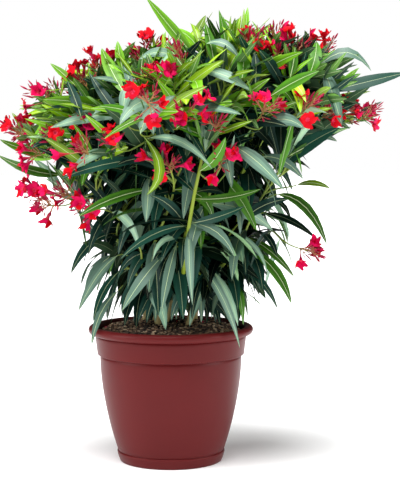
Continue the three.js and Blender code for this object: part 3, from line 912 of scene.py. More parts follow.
class OleanderLeafSettings(bpy.types.PropertyGroup):
    """Size and colours of the leaves."""

    length: length("Length", "Length of a full-grown leaf", 0.150)
    width_share: share("Width", "Width of a leaf as a share of its length", 0.182)
    pitch: length("Pitch", "Distance between whorls of full-grown leaves", 0.028)
    young: colour("Young", "Leaves at the shoot tips", (134, 172, 22))
    fresh: colour("Fresh", "Leaves just below the tips", (90, 142, 20))
    mature: colour("Mature", "Full-grown leaves", (52, 98, 18))
    # Glaucous is partly the leaves' real blue-grey bloom and partly painted sheen, lifted to stand in for the
    # sky's reflection on glossy leaves.
    glaucous_sheen: colour("Glaucous", "Leaves with a blue-grey bloom", (120, 154, 130))
    # Shade is painted shade: a dark copy dealt to leaves buried in the crown, under its right side and low in
    # it.
    shade: colour("Shade", "Shaded leaves low in the crown", (14, 46, 38))
    # Deep is painted shade too: near-black leaves far inside the crown, where shade falls.
    deep_shade: colour("Deep", "Leaves far inside the crown", (3, 16, 10))
    # The underside is the leaves' real paler side, lifted further as painted light that stands in for light
    # shining through the leaf.
    underside: colour("Underside", "Underside of the leaves", (146, 188, 130))
    midrib: colour("Midrib", "Midrib of the leaves", (198, 218, 166))


class OleanderBloomSettings(bpy.types.PropertyGroup):
    """Size and colours of the flower heads."""

    stalk: length("Stalk", "Bare stalk of a flower head", 0.040)
    radius: length("Radius", "Radius of an open flower", 0.0160)
    tube: length("Tube", "Depth of a flower's funnel", 0.017)
    red: colour("Red", "Colour of the red flowers", (208, 0, 24))
    # The darker red is painted shade: a dark copy of the red for petals as if in shade, dealt out at random.
    shaded_red: colour("Crimson", "Colour of the darker flowers", (176, 0, 30))
    magenta: colour("Magenta", "Colour of the pink flowers", (214, 8, 82))
    bud: colour("Bud", "Colour of the buds", (150, 20, 44))
    stalk_colour: colour("Stalk Colour", "Colour of the flower stalks", (172, 116, 82))


class OleanderStageSettings(bpy.types.PropertyGroup):
    """Floor, light and camera."""

    floor_colour: colour("Floor", "Colour of the floor", (243, 243, 243))
    camera_distance: length("Distance", "From the pot's axis to the camera", 2.5)
    camera_height: length("Height", "Height of the camera", 0.58)
    aim_height: length("Aim", "Height that the camera looks at", 0.4178)
    lens: share("Lens", "Focal length in millimetres", 100.3)


# ---- Pot and potting mix ----

# Radii and heights of the wall's ends, of the collar's ends and of the rolled lip.
POT_BODY = ((100.8, 21.5), (133.4, 196.0))
POT_BULGE = 1.75
POT_COLLAR = ((138.7, 205.0), (142.8, 237.5))
POT_LIP_CENTRE = (147.0, 248.0)
POT_LIP_RADIUS = 8.0
# The turns of the profile between those parts.
FOOT_BAND = ((99.8, 9), (101.4, 16.2), (101.7, 17.8), (101.5, 18.8), (100.9, 19.4), (99.6, 19.9))
FOOT_GROOVE = ((99.4, 20.7), (100.2, 21.2))
COLLAR_STEP = ((133.2, 197.4), (132.4, 198.8), (132.3, 200.2), (133.0, 201.2), (136.9, 201.8))
COLLAR_EDGE = ((138.2, 202.4), (138.7, 203.4))
LIP_GROOVE = ((142.2, 236.8), (141.4, 238.0), (141.2, 239.6), (142.0, 240.6), (144.6, 240.9))


def body_radius(z):
    """The bulging wall's outer radius at a height."""
    (r0, z0), (r1, z1) = POT_BODY
    t = (z - z0) / (z1 - z0)
    return lerp(r0, r1, 1 - (1 - t) ** POT_BULGE)


def pot_outside(foot_radius):
    """The outer profile from the underside's edge to the inner edge of the lip."""
    points = [(foot_radius - 2, 0), (foot_radius - 0.6, 0.4), (foot_radius, 1.6)]
    points += [*FOOT_BAND, *FOOT_GROOVE]
    points += [(body_radius(z), z) for z in np.linspace(POT_BODY[0][1] + 0.5, 195.4, 28)]
    points += [*COLLAR_STEP, *COLLAR_EDGE]
    (r0, z0), (r1, z1) = POT_COLLAR
    points += [(lerp(r0, r1, t), lerp(z0, z1, t)) for t in np.linspace(0, 0.95, 8)]
    points += LIP_GROOVE
    middle, height = POT_LIP_CENTRE
    for degrees in np.linspace(-84, 182, 24):
        angle = math.radians(degrees)
        stretch = 1 + 0.06 * max(0, math.cos(angle))
        out = middle + POT_LIP_RADIUS * stretch * math.cos(angle)
        points.append((out, height + POT_LIP_RADIUS * math.sin(angle)))
    return points


def pot_inside(inset, floor):
    """The inner wall from under the lip down to the floor."""
    points = [(r - inset, z) for r, z in reversed(POT_COLLAR)]
    points += [(body_radius(z) - inset, z) for z in np.linspace(POT_BODY[1][1], POT_BODY[0][1], 14)]
    points.append((POT_BODY[0][0] - inset - 4, floor))
    return points


def turned_body(name, profile, segments):
    """Raises a disc through a profile of radii and heights: each ring is extruded and scaled."""
    bpy.ops.object.select_all(action="DESELECT")
    radius, z = profile[0]
    bpy.ops.mesh.primitive_circle_add(
        vertices=segments, radius=radius * MM, fill_type="NGON", location=(0, 0, z * MM)
    )
    piece = bpy.context.object
    piece.name = piece.data.name = name
    bpy.ops.object.transform_apply(location=True)
    bpy.ops.object.mode_set(mode="EDIT")
    bpy.ops.mesh.select_all(action="SELECT")
    for next_radius, next_z in profile[1:]:
        bpy.ops.mesh.extrude_region_move(
            TRANSFORM_OT_translate={"value": (0, 0, (next_z - z) * MM), "orient_type": "GLOBAL"}
        )
        factor = next_radius / radius
        bpy.ops.transform.resize(value=(factor, factor, 1), center_override=(0, 0, next_z * MM))
        radius, z = next_radius, next_z
    bpy.ops.mesh.select_all(action="SELECT")
    bpy.ops.mesh.normals_make_consistent(inside=False)
    bpy.ops.mesh.select_all(action="DESELECT")
    bpy.ops.object.mode_set(mode="OBJECT")
    bpy.ops.object.shade_smooth_by_angle(angle=math.radians(38))
    return piece


class OLEANDER_OT_pot(bpy.types.Operator):
    """Build the bell-shaped pot with its foot band, collar and rolled lip"""

    bl_idname = "oleander.pot"
    bl_label = "Build Pot"

    def execute(self, context):
        pot = context.scene.oleander_pot
        profile = pot_outside(pot.foot_radius / MM) + pot_inside(pot.wall / MM, pot.floor / MM)
        piece = turned_body("bell_pot", profile, pot.segments)
        piece.data.materials.append(pot_material(pot))
        settle(piece, ["pot"])
        return {"FINISHED"}


# The mix rises to a mound, and flattens towards the wall from an edge that has this radius and width.
MOUND_HEIGHT = 28.0
MOUND_RADIUS = 152
MIX_EDGE = (112, 26)
# Half sizes of the chips, their colours from dark to pale, and how often one is a fallen petal.
CHIP_SIZES = ((1.6, 5.2), (1.1, 2.9), (0.7, 1.6))
CHIP_SHADES = ((30, 22, 18), (84, 62, 48), (134, 108, 82), (176, 154, 126))
FALLEN_PETAL = (200, 44, 84)
PETAL_EVERY = 97


def soil_relief(x, y):
    """Height of the mix above its level, in millimetres: a mound with hummocks and crumbs."""
    waves = np.sin(x * 0.051 + 1.3) * np.cos(y * 0.043 - 0.4) * 2.0
    waves += np.sin(x * 0.13 + y * 0.09) * 0.9 + np.cos(y * 0.17 - x * 0.06 + 2) * 0.8
    crumbs = np.sin(x * 0.61 + 0.7) * np.sin(y * 0.57 + 1.9) * 0.5
    edge = np.clip((np.hypot(x, y) - MIX_EDGE[0]) / MIX_EDGE[1], 0, 1)
    mound = MOUND_HEIGHT * (1 - np.clip(np.hypot(x, y) / MOUND_RADIUS, 0, 1) ** 3)
    return (waves + crumbs) * (1 - 0.6 * edge) - 2.0 * edge**2 - 1.0 + mound


class OLEANDER_OT_soil(bpy.types.Operator):
    """Fill the pot with potting mix, with bark chips on its surface"""

    bl_idname = "oleander.soil"
    bl_label = "Build Potting Mix"

    def execute(self, context):
        pot = context.scene.oleander_pot
        inset = pot.wall / MM + GAP
        wall = pot_inside(inset, pot.floor / MM + GAP)[:0:-1]
        top = pot.soil_height / MM
        rim = POT_COLLAR[1][0] - inset - 0.3
        rings = [(rim * t, top) for t in np.linspace(1, 0.02, 46)]
        piece = turned_body("potting_mix", wall + rings, 120)
        points = np.zeros(len(piece.data.vertices) * 3)
        piece.data.vertices.foreach_get("co", points)
        points = points.reshape(-1, 3) / MM
        level = points[:, 2] > top - 0.01
        points[level, 2] += soil_relief(points[level, 0], points[level, 1])
        piece.data.vertices.foreach_set("co", (points * MM).ravel())
        piece.data.update()
        stops = [(0.3, linear((40, 30, 24))), (0.6, linear((80, 62, 48)))]
        piece.data.materials.append(mottled_material("damp_mix", stops, (0.85, 0.95), 110, 900, 0.7, 0.002))
        settle(piece, ["soil"])
        settle(self.chips(pot.chips, rim - 3, top))
        return {"FINISHED"}

    def chips(self, count, radius, top):
        """Bark chips and crumbs that lie on the mix."""
        box = np.array([[x, y, z] for x in (-1, 1) for y in (-1, 1) for z in (-1, 1)], float)
        quads = [[0, 1, 3, 2], [4, 6, 7, 5], [0, 4, 5, 1], [2, 3, 7, 6], [0, 2, 6, 4], [1, 5, 7, 3]]
        points, slots = [], []
        for i in range(count):
            size = np.array([between(*limits, 40 + a, i) for a, limits in enumerate(CHIP_SIZES)])
            jitter = np.array([[between(0.55, 1.0, 43, i, v, a) for a in range(3)] for v in range(8)])
            body = box * size * jitter
            body = body @ turn_matrix(UP, between(0, 360, 44, i)).T
            lean = around(UP, between(0, 360, 45, i))
            body = body @ turn_matrix(lean, between(-24, 24, 46, i)).T
            spot = outwards(i * GOLDEN_ANGLE) * radius * math.sqrt((i + 0.5) / count)
            spot[:2] += [between(-4, 4, 47, i), between(-4, 4, 48, i)]
            spot *= min(1, radius / max(1.0, np.hypot(spot[0], spot[1])))
            height = soil_relief(spot[0], spot[1]) + top + between(0.2, 1.2, 49, i)
            points.append(body + [spot[0], spot[1], height])
            shade = int(chance(50, i) ** 1.1 * len(CHIP_SHADES))
            slots.append(len(CHIP_SHADES) if i % PETAL_EVERY == 31 else shade)
        shape = Shape()
        shape.add_copies(np.array(points), [quads], [np.array(slots)])
        shades = enumerate((*CHIP_SHADES, FALLEN_PETAL))
        materials = [plain_material(f"chip_{i}", linear(c), 0.9) for i, c in shades]
        return shape.build("bark_chips", materials, 30)


def turn_matrix(axis, degrees):
    """The matrix that turns a point about a unit axis."""
    return np.array([turned(v, axis, degrees) for v in np.eye(3)]).T


# ---- Canes and shoots ----

# Rings along, facets round and distance between leaf scars, of a cane and of a bough.
CANE_MESH = (70, 18, 34)
BOUGH_MESH = (46, 12, 26)
# A cane's thickness as a share of its solid's, and the colours of shoots, the lead shoot's last.
CANE_SHARE = 0.68
SHOOT_COLOURS = ((112, 136, 48), (132, 152, 56), (126, 146, 20))
# Relief of the bark as shares of the radius: leaf scars, and ridges with their number round and drift.
SCAR_SWELL = 0.10
SCAR_WIDTH = 0.07
BARK_RIDGES = ((0.028, 7, 0.02), (0.022, 3, 0.07))
BARK_LUMPS = 0.02


def bark_rings(points, radius_at, sides, seed, scar_pitch):
    """Radii with the bark's relief: swollen leaf scars, ridges along and a little lumpiness."""
    rings = len(points)
    reach = np.concatenate([[0], np.cumsum(np.linalg.norm(np.diff(points, axis=0), axis=1))])
    angles = np.linspace(0, 2 * math.pi, sides, endpoint=False)
    radii = np.zeros((rings, sides))
    for i in range(rings):
        phase = (reach[i] / scar_pitch + chance(seed, 60)) % 1
        scar = SCAR_SWELL * math.exp(-(((phase - 0.5) / SCAR_WIDTH) ** 2))
        ridges = sum(
            swell * np.sin(angles * count + reach[i] * drift + seed * number)
            for number, (swell, count, drift) in enumerate(BARK_RIDGES, 1)
        )
        lumps = BARK_LUMPS * math.sin(reach[i] * 0.19 + seed)
        radii[i] = radius_at(i / (rings - 1)) * (1 + scar + ridges + lumps)
    return radii


class OLEANDER_OT_canes(bpy.types.Operator):
    """Grow the canes and the boughs that they fork into, with the relief of their bark"""

    bl_idname = "oleander.canes"
    bl_label = "Grow Canes"

    def execute(self, context):
        plan = plan_plant(context.scene)
        bark = bark_material("cane_bark", 0.30, 0.52)
        for k, stem in enumerate(plan["stems"]):
            shape = Shape()
            rings, sides, scars = CANE_MESH
            points = bezier(stem["curve"], np.linspace(0, 1, rings))
            tube(shape, points, bark_rings(points, self.cane_radius, sides, k, scars), sides, 0)
            rings, sides, scars = BOUGH_MESH
            for side, curve in enumerate(plan["boughs"][k]):
                points = bezier(curve, np.linspace(0, 1, rings))
                points = np.vstack([points[0] - stem["direction"] * 5, points])
                seed = k + 20 + side
                tube(shape, points, bark_rings(points, self.bough_radius, sides, seed, scars), sides, 0)
            piece = shape.build(f"cane_{k + 1}", [bark], 60)
            number = k + 1
            settle(piece, [f"stem_{number}", f"bough_{number}_inner", f"bough_{number}_outer"])
        return {"FINISHED"}

    @staticmethod
    def cane_radius(t):
        """Radius at a share of the cane's length, with the thickened fork at its top."""
        node = (STEM_NODE_RADIUS - STEM_RADIUS[1]) * math.exp(-(((1 - t) / 0.03) ** 2))
        return CANE_SHARE * (stem_radius(t) + node)

    @staticmethod
    def bough_radius(t):
        return lerp(*BOUGH_RADIUS, t)


class OLEANDER_OT_shoots(bpy.types.Operator):
    """Grow the leafy shoots out of the boughs and canes"""

    bl_idname = "oleander.shoots"
    bl_label = "Grow Shoots"

    def execute(self, context):
        shape = Shape()
        for twig in plan_plant(context.scene)["twigs"]:
            points = np.vstack([twig["axis"][0] - unit(twig["axis"][1] - twig["axis"][0]), twig["axis"]])
            if twig["stalk"]:
                end = twig["tip"] + twig["direction"] * twig["stalk"]
                points = np.vstack([points, (twig["tip"] + end) / 2, end])
            radii = np.linspace(twig["radius"][0], twig["radius"][1] * 0.8, len(points))
            slot = 2 if twig["radius"] == LEAD_RADIUS else twig["keys"][0] % 2
            tube(shape, points, radii, 8, slot)
        shades = enumerate(SHOOT_COLOURS)
        materials = [plain_material(f"green_shoot_{i}", linear(c), 0.5) for i, c in shades]
        settle(shape.build("leafy_shoots", materials, 60))
        return {"FINISHED"}


# ---- Leaves ----

LEAF_STATIONS = np.array([0, 0.035, 0.11, 0.22, 0.36, 0.52, 0.68, 0.82, 0.93])
# Most that a leaf rolls, in degrees, folds and waves: in a whorl, and on its own, facing the front.
WHORL_PLAY = (26, 0.46, 1.0)
LONG_LEAF_PLAY = (16, 0.4, 0.8)
LONG_LEAF_FACES = np.array([0.25, -1.0, 0.5])

# Finish of each class: gloss, the midrib's brightness, and how far the underside is pale, partly painted
# light, and the foot warm. The shade and deep classes dim their midrib and underside as painted shade.
LEAF_FINISH = {
    "young": (0.26, 1, 0.22, 0.5),
    "fresh": (0.24, 1, 0.26, 0.42),
    "mature": (0.2, 0.85, 0.3, 0.22),
    "glaucous_sheen": (0.26, 0.95, 0.7, 0.12),
    "shade": (0.14, 0.5, 0.16, 0.08),
    "deep_shade": (0.05, 0.14, 0.06, 0.0),
}
# Brightness of a class's five shades, partly tone that differs from leaf to leaf and partly painted light and
# shade. Low in the crown only the darker ones are dealt out, as painted shade.
LEAF_SHADES = (0.54, 0.82, 1.16, 1.54, 1.94)
PAINTED_SHADE_BELOW = 540
PAINTED_SHADE_STEPS = 3.3
# Slots of a leaf's other surfaces, after those of its shades.
UNDERSIDE, MIDRIB, FOOT = 5, 6, 7

# The classes dealt out in each part of the crown, each with the draw up to which it is taken. The shade and
# deep classes are painted shade, dealt under the right side, low in the crown and round the lead shoot's
# wheel.
LEAF_MIX = {
    "wheel": ((0.7, "glaucous_sheen"), (1, "shade")),
    "shaded_right": ((0.46, "mature"), (0.82, "shade"), (1, "glaucous_sheen")),
    "middle": ((0.4, "glaucous_sheen"), (0.8, "mature"), (1, "shade")),
    "low": ((0.36, "glaucous_sheen"), (1, "shade")),
    "low_right": ((0.36, "glaucous_sheen"), (0.86, "shade"), (1, "mature")),
    "tips": ((0.4, "young"), (0.8, "fresh"), (1, "mature")),
    "upper": ((0.3, "fresh"), (0.6, "mature"), (0.9, "glaucous_sheen"), (1, "shade")),
}
# Those parts: the leafy height, the share of it that is low, and where the right side starts: low down, and
# under the crown's overhang up to a height, where leaves take painted shade.
LEAFY_FROM = 330
LEAFY_RISE = 460
LOW_SHARE = 0.3
LOW_RIGHT = 50
FAR_RIGHT = 180
FAR_RIGHT_TOP = 640
# Below these depths a leaf is dark: painted shade for leaves buried in the crown.
PAINTED_SHADE_DEPTHS = ((92, "deep_shade"), (58, "shade"))


def leaf_faces():
    """Face arrays of one leaf: inner and outer blade, foot, midrib, underside, cap and tip."""
    rings, row = len(LEAF_STATIONS), 10
    top = [0, 1, 2, 3, 4, 5]
    low = [0, 6, 7, 8, 9, 5]
    tip = rings * row
    inner, outer, foot, rib, under, under_rib = [], [], [], [], [], []
    blade_tip, rib_tip, under_tip = [], [], []
    for i in range(rings):
        for c in range(5):
            a, b = top[c] + i * row, top[c + 1] + i * row
            p, q = low[c] + i * row, low[c + 1] + i * row
            if i < rings - 1:
                over = rib if c == 2 else foot if i < 2 else inner if c in (1, 3) else outer
                over += [[a, b, b + row], [a, b + row, a + row]]
                below = under_rib if c == 2 else under
                below += [[q, p, q + row], [p, p + row, q + row]]
            else:
                (rib_tip if c == 2 else blade_tip).append([a, b, tip])
                under_tip.append([q, p, tip])
    cap = [[5, 4, 3, 2, 1, 0, 6, 7, 8, 9]]
    return [inner, outer, foot, rib, under, under_rib, cap, blade_tip, rib_tip, under_tip]


def leaf_points(leaves):
    """Vertices of many leaves at once: leaves is a dict of arrays."""
    root, bend, tip = leaves["root"], leaves["bend"], leaves["tip"]
    s = LEAF_STATIONS[None, :, None]
    centre = (1 - s) ** 2 * root[:, None] + 2 * s * (1 - s) * bend[:, None] + s**2 * tip[:, None]
    way = (1 - s) * (bend - root)[:, None] + s * (tip - bend)[:, None]
    way /= np.linalg.norm(way, axis=2)[..., None]
    side = np.broadcast_to(leaves["side"][:, None], way.shape)
    side = side - way * (side * way).sum(2)[..., None]
    side /= np.linalg.norm(side, axis=2)[..., None]
    face = np.cross(way, side)
    roll = (leaves["roll"][:, None] + leaves["twist"][:, None] * LEAF_STATIONS)[..., None]
    side, face = side * np.cos(roll) + face * np.sin(roll), face * np.cos(roll) - side * np.sin(roll)

    x = np.clip((LEAF_STATIONS - 0.03) / 0.97, 0, 1)
    outline = 0.08 + 0.92 * np.sin(math.pi * x**0.84) ** 0.95
    half = leaves["width"][:, None] / 2 * outline[None]
    rib = np.minimum(0.32 * half, 0.62 * (1 - 0.6 * LEAF_STATIONS)[None])
    across = np.stack([-half, -0.52 * half, -rib, rib, 0.52 * half, half], 2)
    fold = leaves["fold"][:, None, None]
    lift = fold * np.abs(across) - 0.8 * fold * across**2 / half[..., None]
    wave = leaves["wave"][:, None] * np.sin(LEAF_STATIONS * 17 + leaves["phase"][:, None])
    lift[..., 0] += wave * half * 0.12
    lift[..., 5] -= wave * half * 0.12
    upper = centre[:, :, None] + side[:, :, None] * across[..., None] + face[:, :, None] * lift[..., None]
    thick = np.array([0.35, 0.75, 0.75, 0.35])
    lower = upper[:, :, 1:5] - face[:, :, None] * thick[None, None, :, None]
    body = np.concatenate([upper, lower], 2).reshape(len(root), -1, 3)
    return np.concatenate([body, tip[:, None]], 1)


def blade(keys, root, bend, tip, side, width, most_roll, most_fold, most_wave):
    """The form of a leaf through three places, with its own roll, twist, fold and waved edge."""
    return {
        "keys": keys,
        "root": root,
        "bend": bend,
        "tip": tip,
        "side": side,
        "width": width,
        "roll": math.radians(between(-most_roll, most_roll, 19, *keys)),
        "twist": math.radians(between(-30, 30, 20, *keys)),
        "fold": between(0.16, most_fold, 21, *keys),
        "wave": between(0.0, most_wave, 22, *keys),
        "phase": between(0, 6.28, 23, *keys),
    }


def leaf_at(keys, kind, root, way, age, turn, widened, scale, settings):
    """One leaf of a whorl: where it starts, how it opens and droops, and its size."""
    habit = HABIT[kind]
    grown = min(1.0, age * 2.2)
    size = settings.length / MM * scale * lerp(*habit["share"], grown) * between(0.8, 1.18, 12, *keys)
    opening = lerp(*habit["opening"], age) + widened * (1 - age) + between(-10, 10, 14, *keys)
    sideways = around(way, turn)
    start = tilted(way, sideways, opening)
    hinge = np.cross(start, UP)
    hinge /= max(1e-6, np.linalg.norm(hinge))
    droop = lerp(*habit["droop"], age) * between(0.6, 1.4, 15, *keys)
    if chance(28, *keys) < CURLED_SHARE:
        droop += CURLED_DROOP
    steepest = max(0.0, math.degrees(math.acos(np.clip(-start[2], -1, 1))) - 12)
    end = turned(start, hinge, -min(droop, steepest))
    bend = root + start * size / 2
    tip = bend + end * size / 2
    width = size * settings.width_share * between(0.88, 1.14, 18, *keys)
    leaf = blade(keys, root, bend, tip, np.cross(way, sideways), width, *WHORL_PLAY)
    return {**leaf, "age": age, "kind": kind}


def whorls_on(twig, settings):
    """Leaves in whorls of three along a twig, close together at its tip."""
    leaves, distance, w = [], 2.0, 0
    total = run_length(twig["axis"])
    widened = BLOOM_WIDENS if twig["stalk"] else 0
    while True:
        place = back_from(twig["axis"], distance)
        if place is None or total - distance < twig["bare"]:
            return leaves
        root, way = place
        age = min(1.0, distance / 120)
        for i in range(3):
            keys = (*twig["keys"], w, i)
            turn = 120 * i + 60 * w + 17 * twig["keys"][1] + between(-16, 16, 13, *keys)
            leaf = leaf_at(keys, twig["kind"], root, way, age, turn, widened, twig["size"], settings)
            leaves.append(leaf)
        distance += settings.pitch / MM * (0.5 + 0.5 * min(1.0, w / 3))
        w += 1


def leaf_rule(plan, settings, crown):
    """Every leaf of the plant, without those that would leave its reach or meet the pot."""
    leaves = []
    for twig in plan["twigs"]:
        leaves += whorls_on(twig, settings)
    for k, pair in enumerate(plan["boughs"]):
        for side, curve in enumerate(pair):
            axis = bezier(curve, np.linspace(0, 1, 12))
            count, first, pitch = BOUGH_WHORLS
            for w in range(count):
                root, way = back_from(axis, first + pitch * w)
                keys = (KEYS["bough"] + k, side, w)
                leaves += whorl(keys, "bough", root, way, 0.4 + 0.15 * w, settings)
        axis = bezier(plan["stems"][k]["curve"], np.linspace(0, 1, 24))
        count, first, pitch = CANE_WHORLS
        for w in range(count):
            root, way = back_from(axis, first + pitch * w)
            leaves += whorl((KEYS["cane"] + k, 0, w), "cane", root, way, w / (count - 1), settings)
    for w, at in enumerate(WHEEL_AT):
        root, ahead = bezier(LEAD_SHOOT, [at, at + 0.01])
        leaves += whorl((KEYS["wheel"], w // 2, w), "wheel", root, unit(ahead - root), w / 3, settings)
    kept = []
    for leaf in leaves:
        limit = between(*LEAF_LIMITS, 27, *leaf["keys"])
        if face_share(leaf["tip"], crown) > limit:
            shorten(leaf, 0.8)
        for _ in range(2):
            if not clears_pot(leaf):
                shorten(leaf, 0.84)
        if clears_pot(leaf) and face_share(leaf["tip"], crown) < limit:
            kept.append(leaf)
    kept += [long_leaf(number, *place) for number, place in enumerate(LONG_LEAVES)]
    bury(kept, crown)
    return kept


def long_leaf(number, root, bend, tip, width, name, shade):
    """A leaf that stands out of the crown on its own, through its three places."""
    root, bend, tip = (np.array(place, float) for place in (root, bend, tip))
    keys = (KEYS["long_leaf"], number, 0, 0)
    side = unit(np.cross(LONG_LEAF_FACES, tip - root))
    leaf = blade(keys, root, bend, tip, side, width, *LONG_LEAF_PLAY)
    return {**leaf, "kind": "long", "class": name, "shade": shade}


def clears_pot(leaf):
    """Whether a leaf stays above the mix and the lip, or hangs clear outside."""
    for s in (0.55, 0.7, 0.85, 1.0):
        point = (1 - s) ** 2 * leaf["root"] + 2 * s * (1 - s) * leaf["bend"] + s * s * leaf["tip"]
        out = math.hypot(point[0], point[1])
        if point[2] < (LEAF_FLOOR_INSIDE if out < LIP_CLEARANCE else LEAF_FLOOR_OUTSIDE):
            return False
    return True


def shorten(leaf, factor):
    """Draws a leaf in towards its foot, narrower in step."""
    for end in ("bend", "tip"):
        leaf[end] = leaf["root"] + (leaf[end] - leaf["root"]) * factor
    leaf["width"] *= factor


def whorl(first_keys, kind, root, way, age, settings):
    """Three leaves straight on a bough, a cane or the lead shoot."""
    leaves = []
    for i in range(3):
        keys = (*first_keys, i)
        turn = 120 * i + 60 * first_keys[-1] + between(-16, 16, 13, *keys)
        leaves.append(leaf_at(keys, kind, root, way, age, turn, 0, 1.0, settings))
    return leaves


def bury(leaves, crown):
    """Notes for each leaf how far it lies below its outermost neighbours and the crown's face: the depth that
    decides its painted shade.
    """
    reach = np.array([leaf["bend"] for leaf in leaves]) - HEART
    far = np.linalg.norm(reach, axis=1)
    ways = reach / far[:, None]
    near = ways @ ways.T > math.cos(math.radians(HEART_CONE))
    face = np.where(near, far[None], 0).max(axis=1)
    for leaf, depth in zip(leaves, face - far):
        radius = np.interp(leaf["bend"][2], FACE_HEIGHTS, FACE_RADII)
        leaf["depth"] = min(depth, (1 - face_share(leaf["bend"], crown)) * radius)


def picked(draw, part):
    """The class that a draw falls on in a part of the crown."""
    return next(name for limit, name in LEAF_MIX[part] if draw < limit)


def leaf_class(leaf):
    """Bright at the tips, blue-grey with painted sheen lower down, and painted shade inside the crown, under
    its right side and low in it.
    """
    if leaf["kind"] == "long":
        return leaf["class"]
    draw = chance(24, *leaf["keys"])
    if leaf["kind"] == "wheel":
        return picked(draw, "wheel")
    across, _, above = leaf["root"]
    height = (above - LEAFY_FROM) / LEAFY_RISE
    # Low in the crown, buried leaves take painted shade at a smaller depth.
    if height < LOW_SHARE and leaf["depth"] > 26 + 40 * draw:
        return "deep_shade" if leaf["depth"] > 46 + 26 * draw else "shade"
    for depth, name in PAINTED_SHADE_DEPTHS:
        if leaf["depth"] > depth + 50 * (draw - 0.5):
            return name
    # Leaves under the right side's overhang take painted shade: mostly darker classes.
    if across > FAR_RIGHT and above < FAR_RIGHT_TOP:
        return picked(draw, "shaded_right")
    if height < between(0.35, 0.6, 26, *leaf["keys"]):
        low = "low_right" if across > LOW_RIGHT else "low"
        return picked(draw, "middle" if height > LOW_SHARE else low)
    return picked(draw, "tips" if leaf["age"] < 0.3 else "upper")


def dealt_shade(leaf):
    """Which shade of its class a leaf has: any in the upper crown, only the darker ones lower down as painted
    shade.
    """
    shades = len(LEAF_SHADES) if leaf["root"][2] > PAINTED_SHADE_BELOW else PAINTED_SHADE_STEPS
    return int(shades * 0.998 * chance(25, *leaf["keys"]))


class OLEANDER_OT_leaves(bpy.types.Operator):
    """Clothe the shoots with lance-shaped leaves in whorls of three"""

    bl_idname = "oleander.leaves"
    bl_label = "Grow Leaves"

    def execute(self, context):
        settings = context.scene.oleander_leaf
        leaves = leaf_rule(plan_plant(context.scene), settings, context.scene.oleander_crown)
        nodes = [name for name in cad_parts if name.startswith("foliage_")]
        faces = leaf_faces()
        for name in LEAF_FINISH:
            chosen = [leaf for leaf in leaves if leaf_class(leaf) == name]
            arrays = {
                key: np.array([leaf[key] for leaf in chosen])
                for key in ("root", "bend", "tip", "side", "width", "roll", "twist", "fold", "wave", "phase")
            }
            shade = np.array([leaf.get("shade", dealt_shade(leaf)) for leaf in chosen])
            edge = np.clip(shade + (-1 if name in ("glaucous_sheen", "young") else 1), 0, len(LEAF_SHADES) - 1)
            slots = [shade, edge, FOOT, MIDRIB, UNDERSIDE, MIDRIB, UNDERSIDE, edge, MIDRIB, UNDERSIDE]
            shape = Shape()
            shape.add_copies(leaf_points(arrays), faces, slots)
            piece = shape.build(f"leaves_{name}", self.materials(name, settings), 50)
            settle(piece, nodes)
        return {"FINISHED"}

    @staticmethod
    def materials(name, settings):
        """The shades of a class, darker and brighter copies that are partly painted light and shade, each a
        little warmer than the one before, and its other surfaces.
        """
        base = np.array(getattr(settings, name))
        gloss, rib, pale, warm = LEAF_FINISH[name]
        made = []
        for i, factor in enumerate(LEAF_SHADES):
            tint = base * factor * np.array([1 + 0.03 * (i - 2), 1, 1 - 0.04 * (i - 2)])
            made.append(plain_material(f"leaf_{name}_{i}", np.clip(tint, 0, 1), 0.44, gloss))
        under = lerp(base, np.array(settings.underside), pale)
        made.append(plain_material(f"underside_{name}", under, 0.5, gloss * 0.5))
        made.append(plain_material(f"midrib_{name}", np.array(settings.midrib) * rib, 0.45, 0.3))
        foot = lerp(base, np.array(settings.young), warm)
        made.append(plain_material(f"leaf_foot_{name}", foot, 0.4, gloss))
        return made


# ---- Flowers ----

HUES = ("red", "shaded_red", "magenta")
PETALS = 5
PETAL_ROWS = np.array([0.0, 0.28, 0.55, 0.8, 1.0])
PETAL_COLUMNS = np.array([-1.0, -0.5, 0.0, 0.5, 1.0])
PETAL_THICKNESS = 0.35
FUNNEL_SIDES = 10
THROAT_RADIUS = 3.0
# A bud's radii and heights as shares of its own, its facets round and its twist from ring to ring.
BUD_RINGS = ((0.35, 0.0), (0.85, 0.18), (1.0, 0.45), (0.72, 0.75), (0.15, 1.0))
BUD_SIDES = 6
BUD_TWIST = 0.35
# A flower head: its open flowers and its stalks, how many of them flower, and its forked ends.
HEAD_FLOWERS = 3
HEAD_FLOWER_SHARE = 0.62
HEAD_STALKS = 10
STALK_FLOWER_SHARE = 0.09
HEAD_FORK = 34
HEAD_FORK_LENGTH = 9


def ring_quads(base, rings, sides):
    """The faces between rings of vertices that follow one another from a first number."""
    quads = []
    for i in range(rings - 1):
        for j in range(sides):
            a, b = base + i * sides + j, base + i * sides + (j + 1) % sides
            quads.append([a, b, b + sides, a + sides])
    return quads


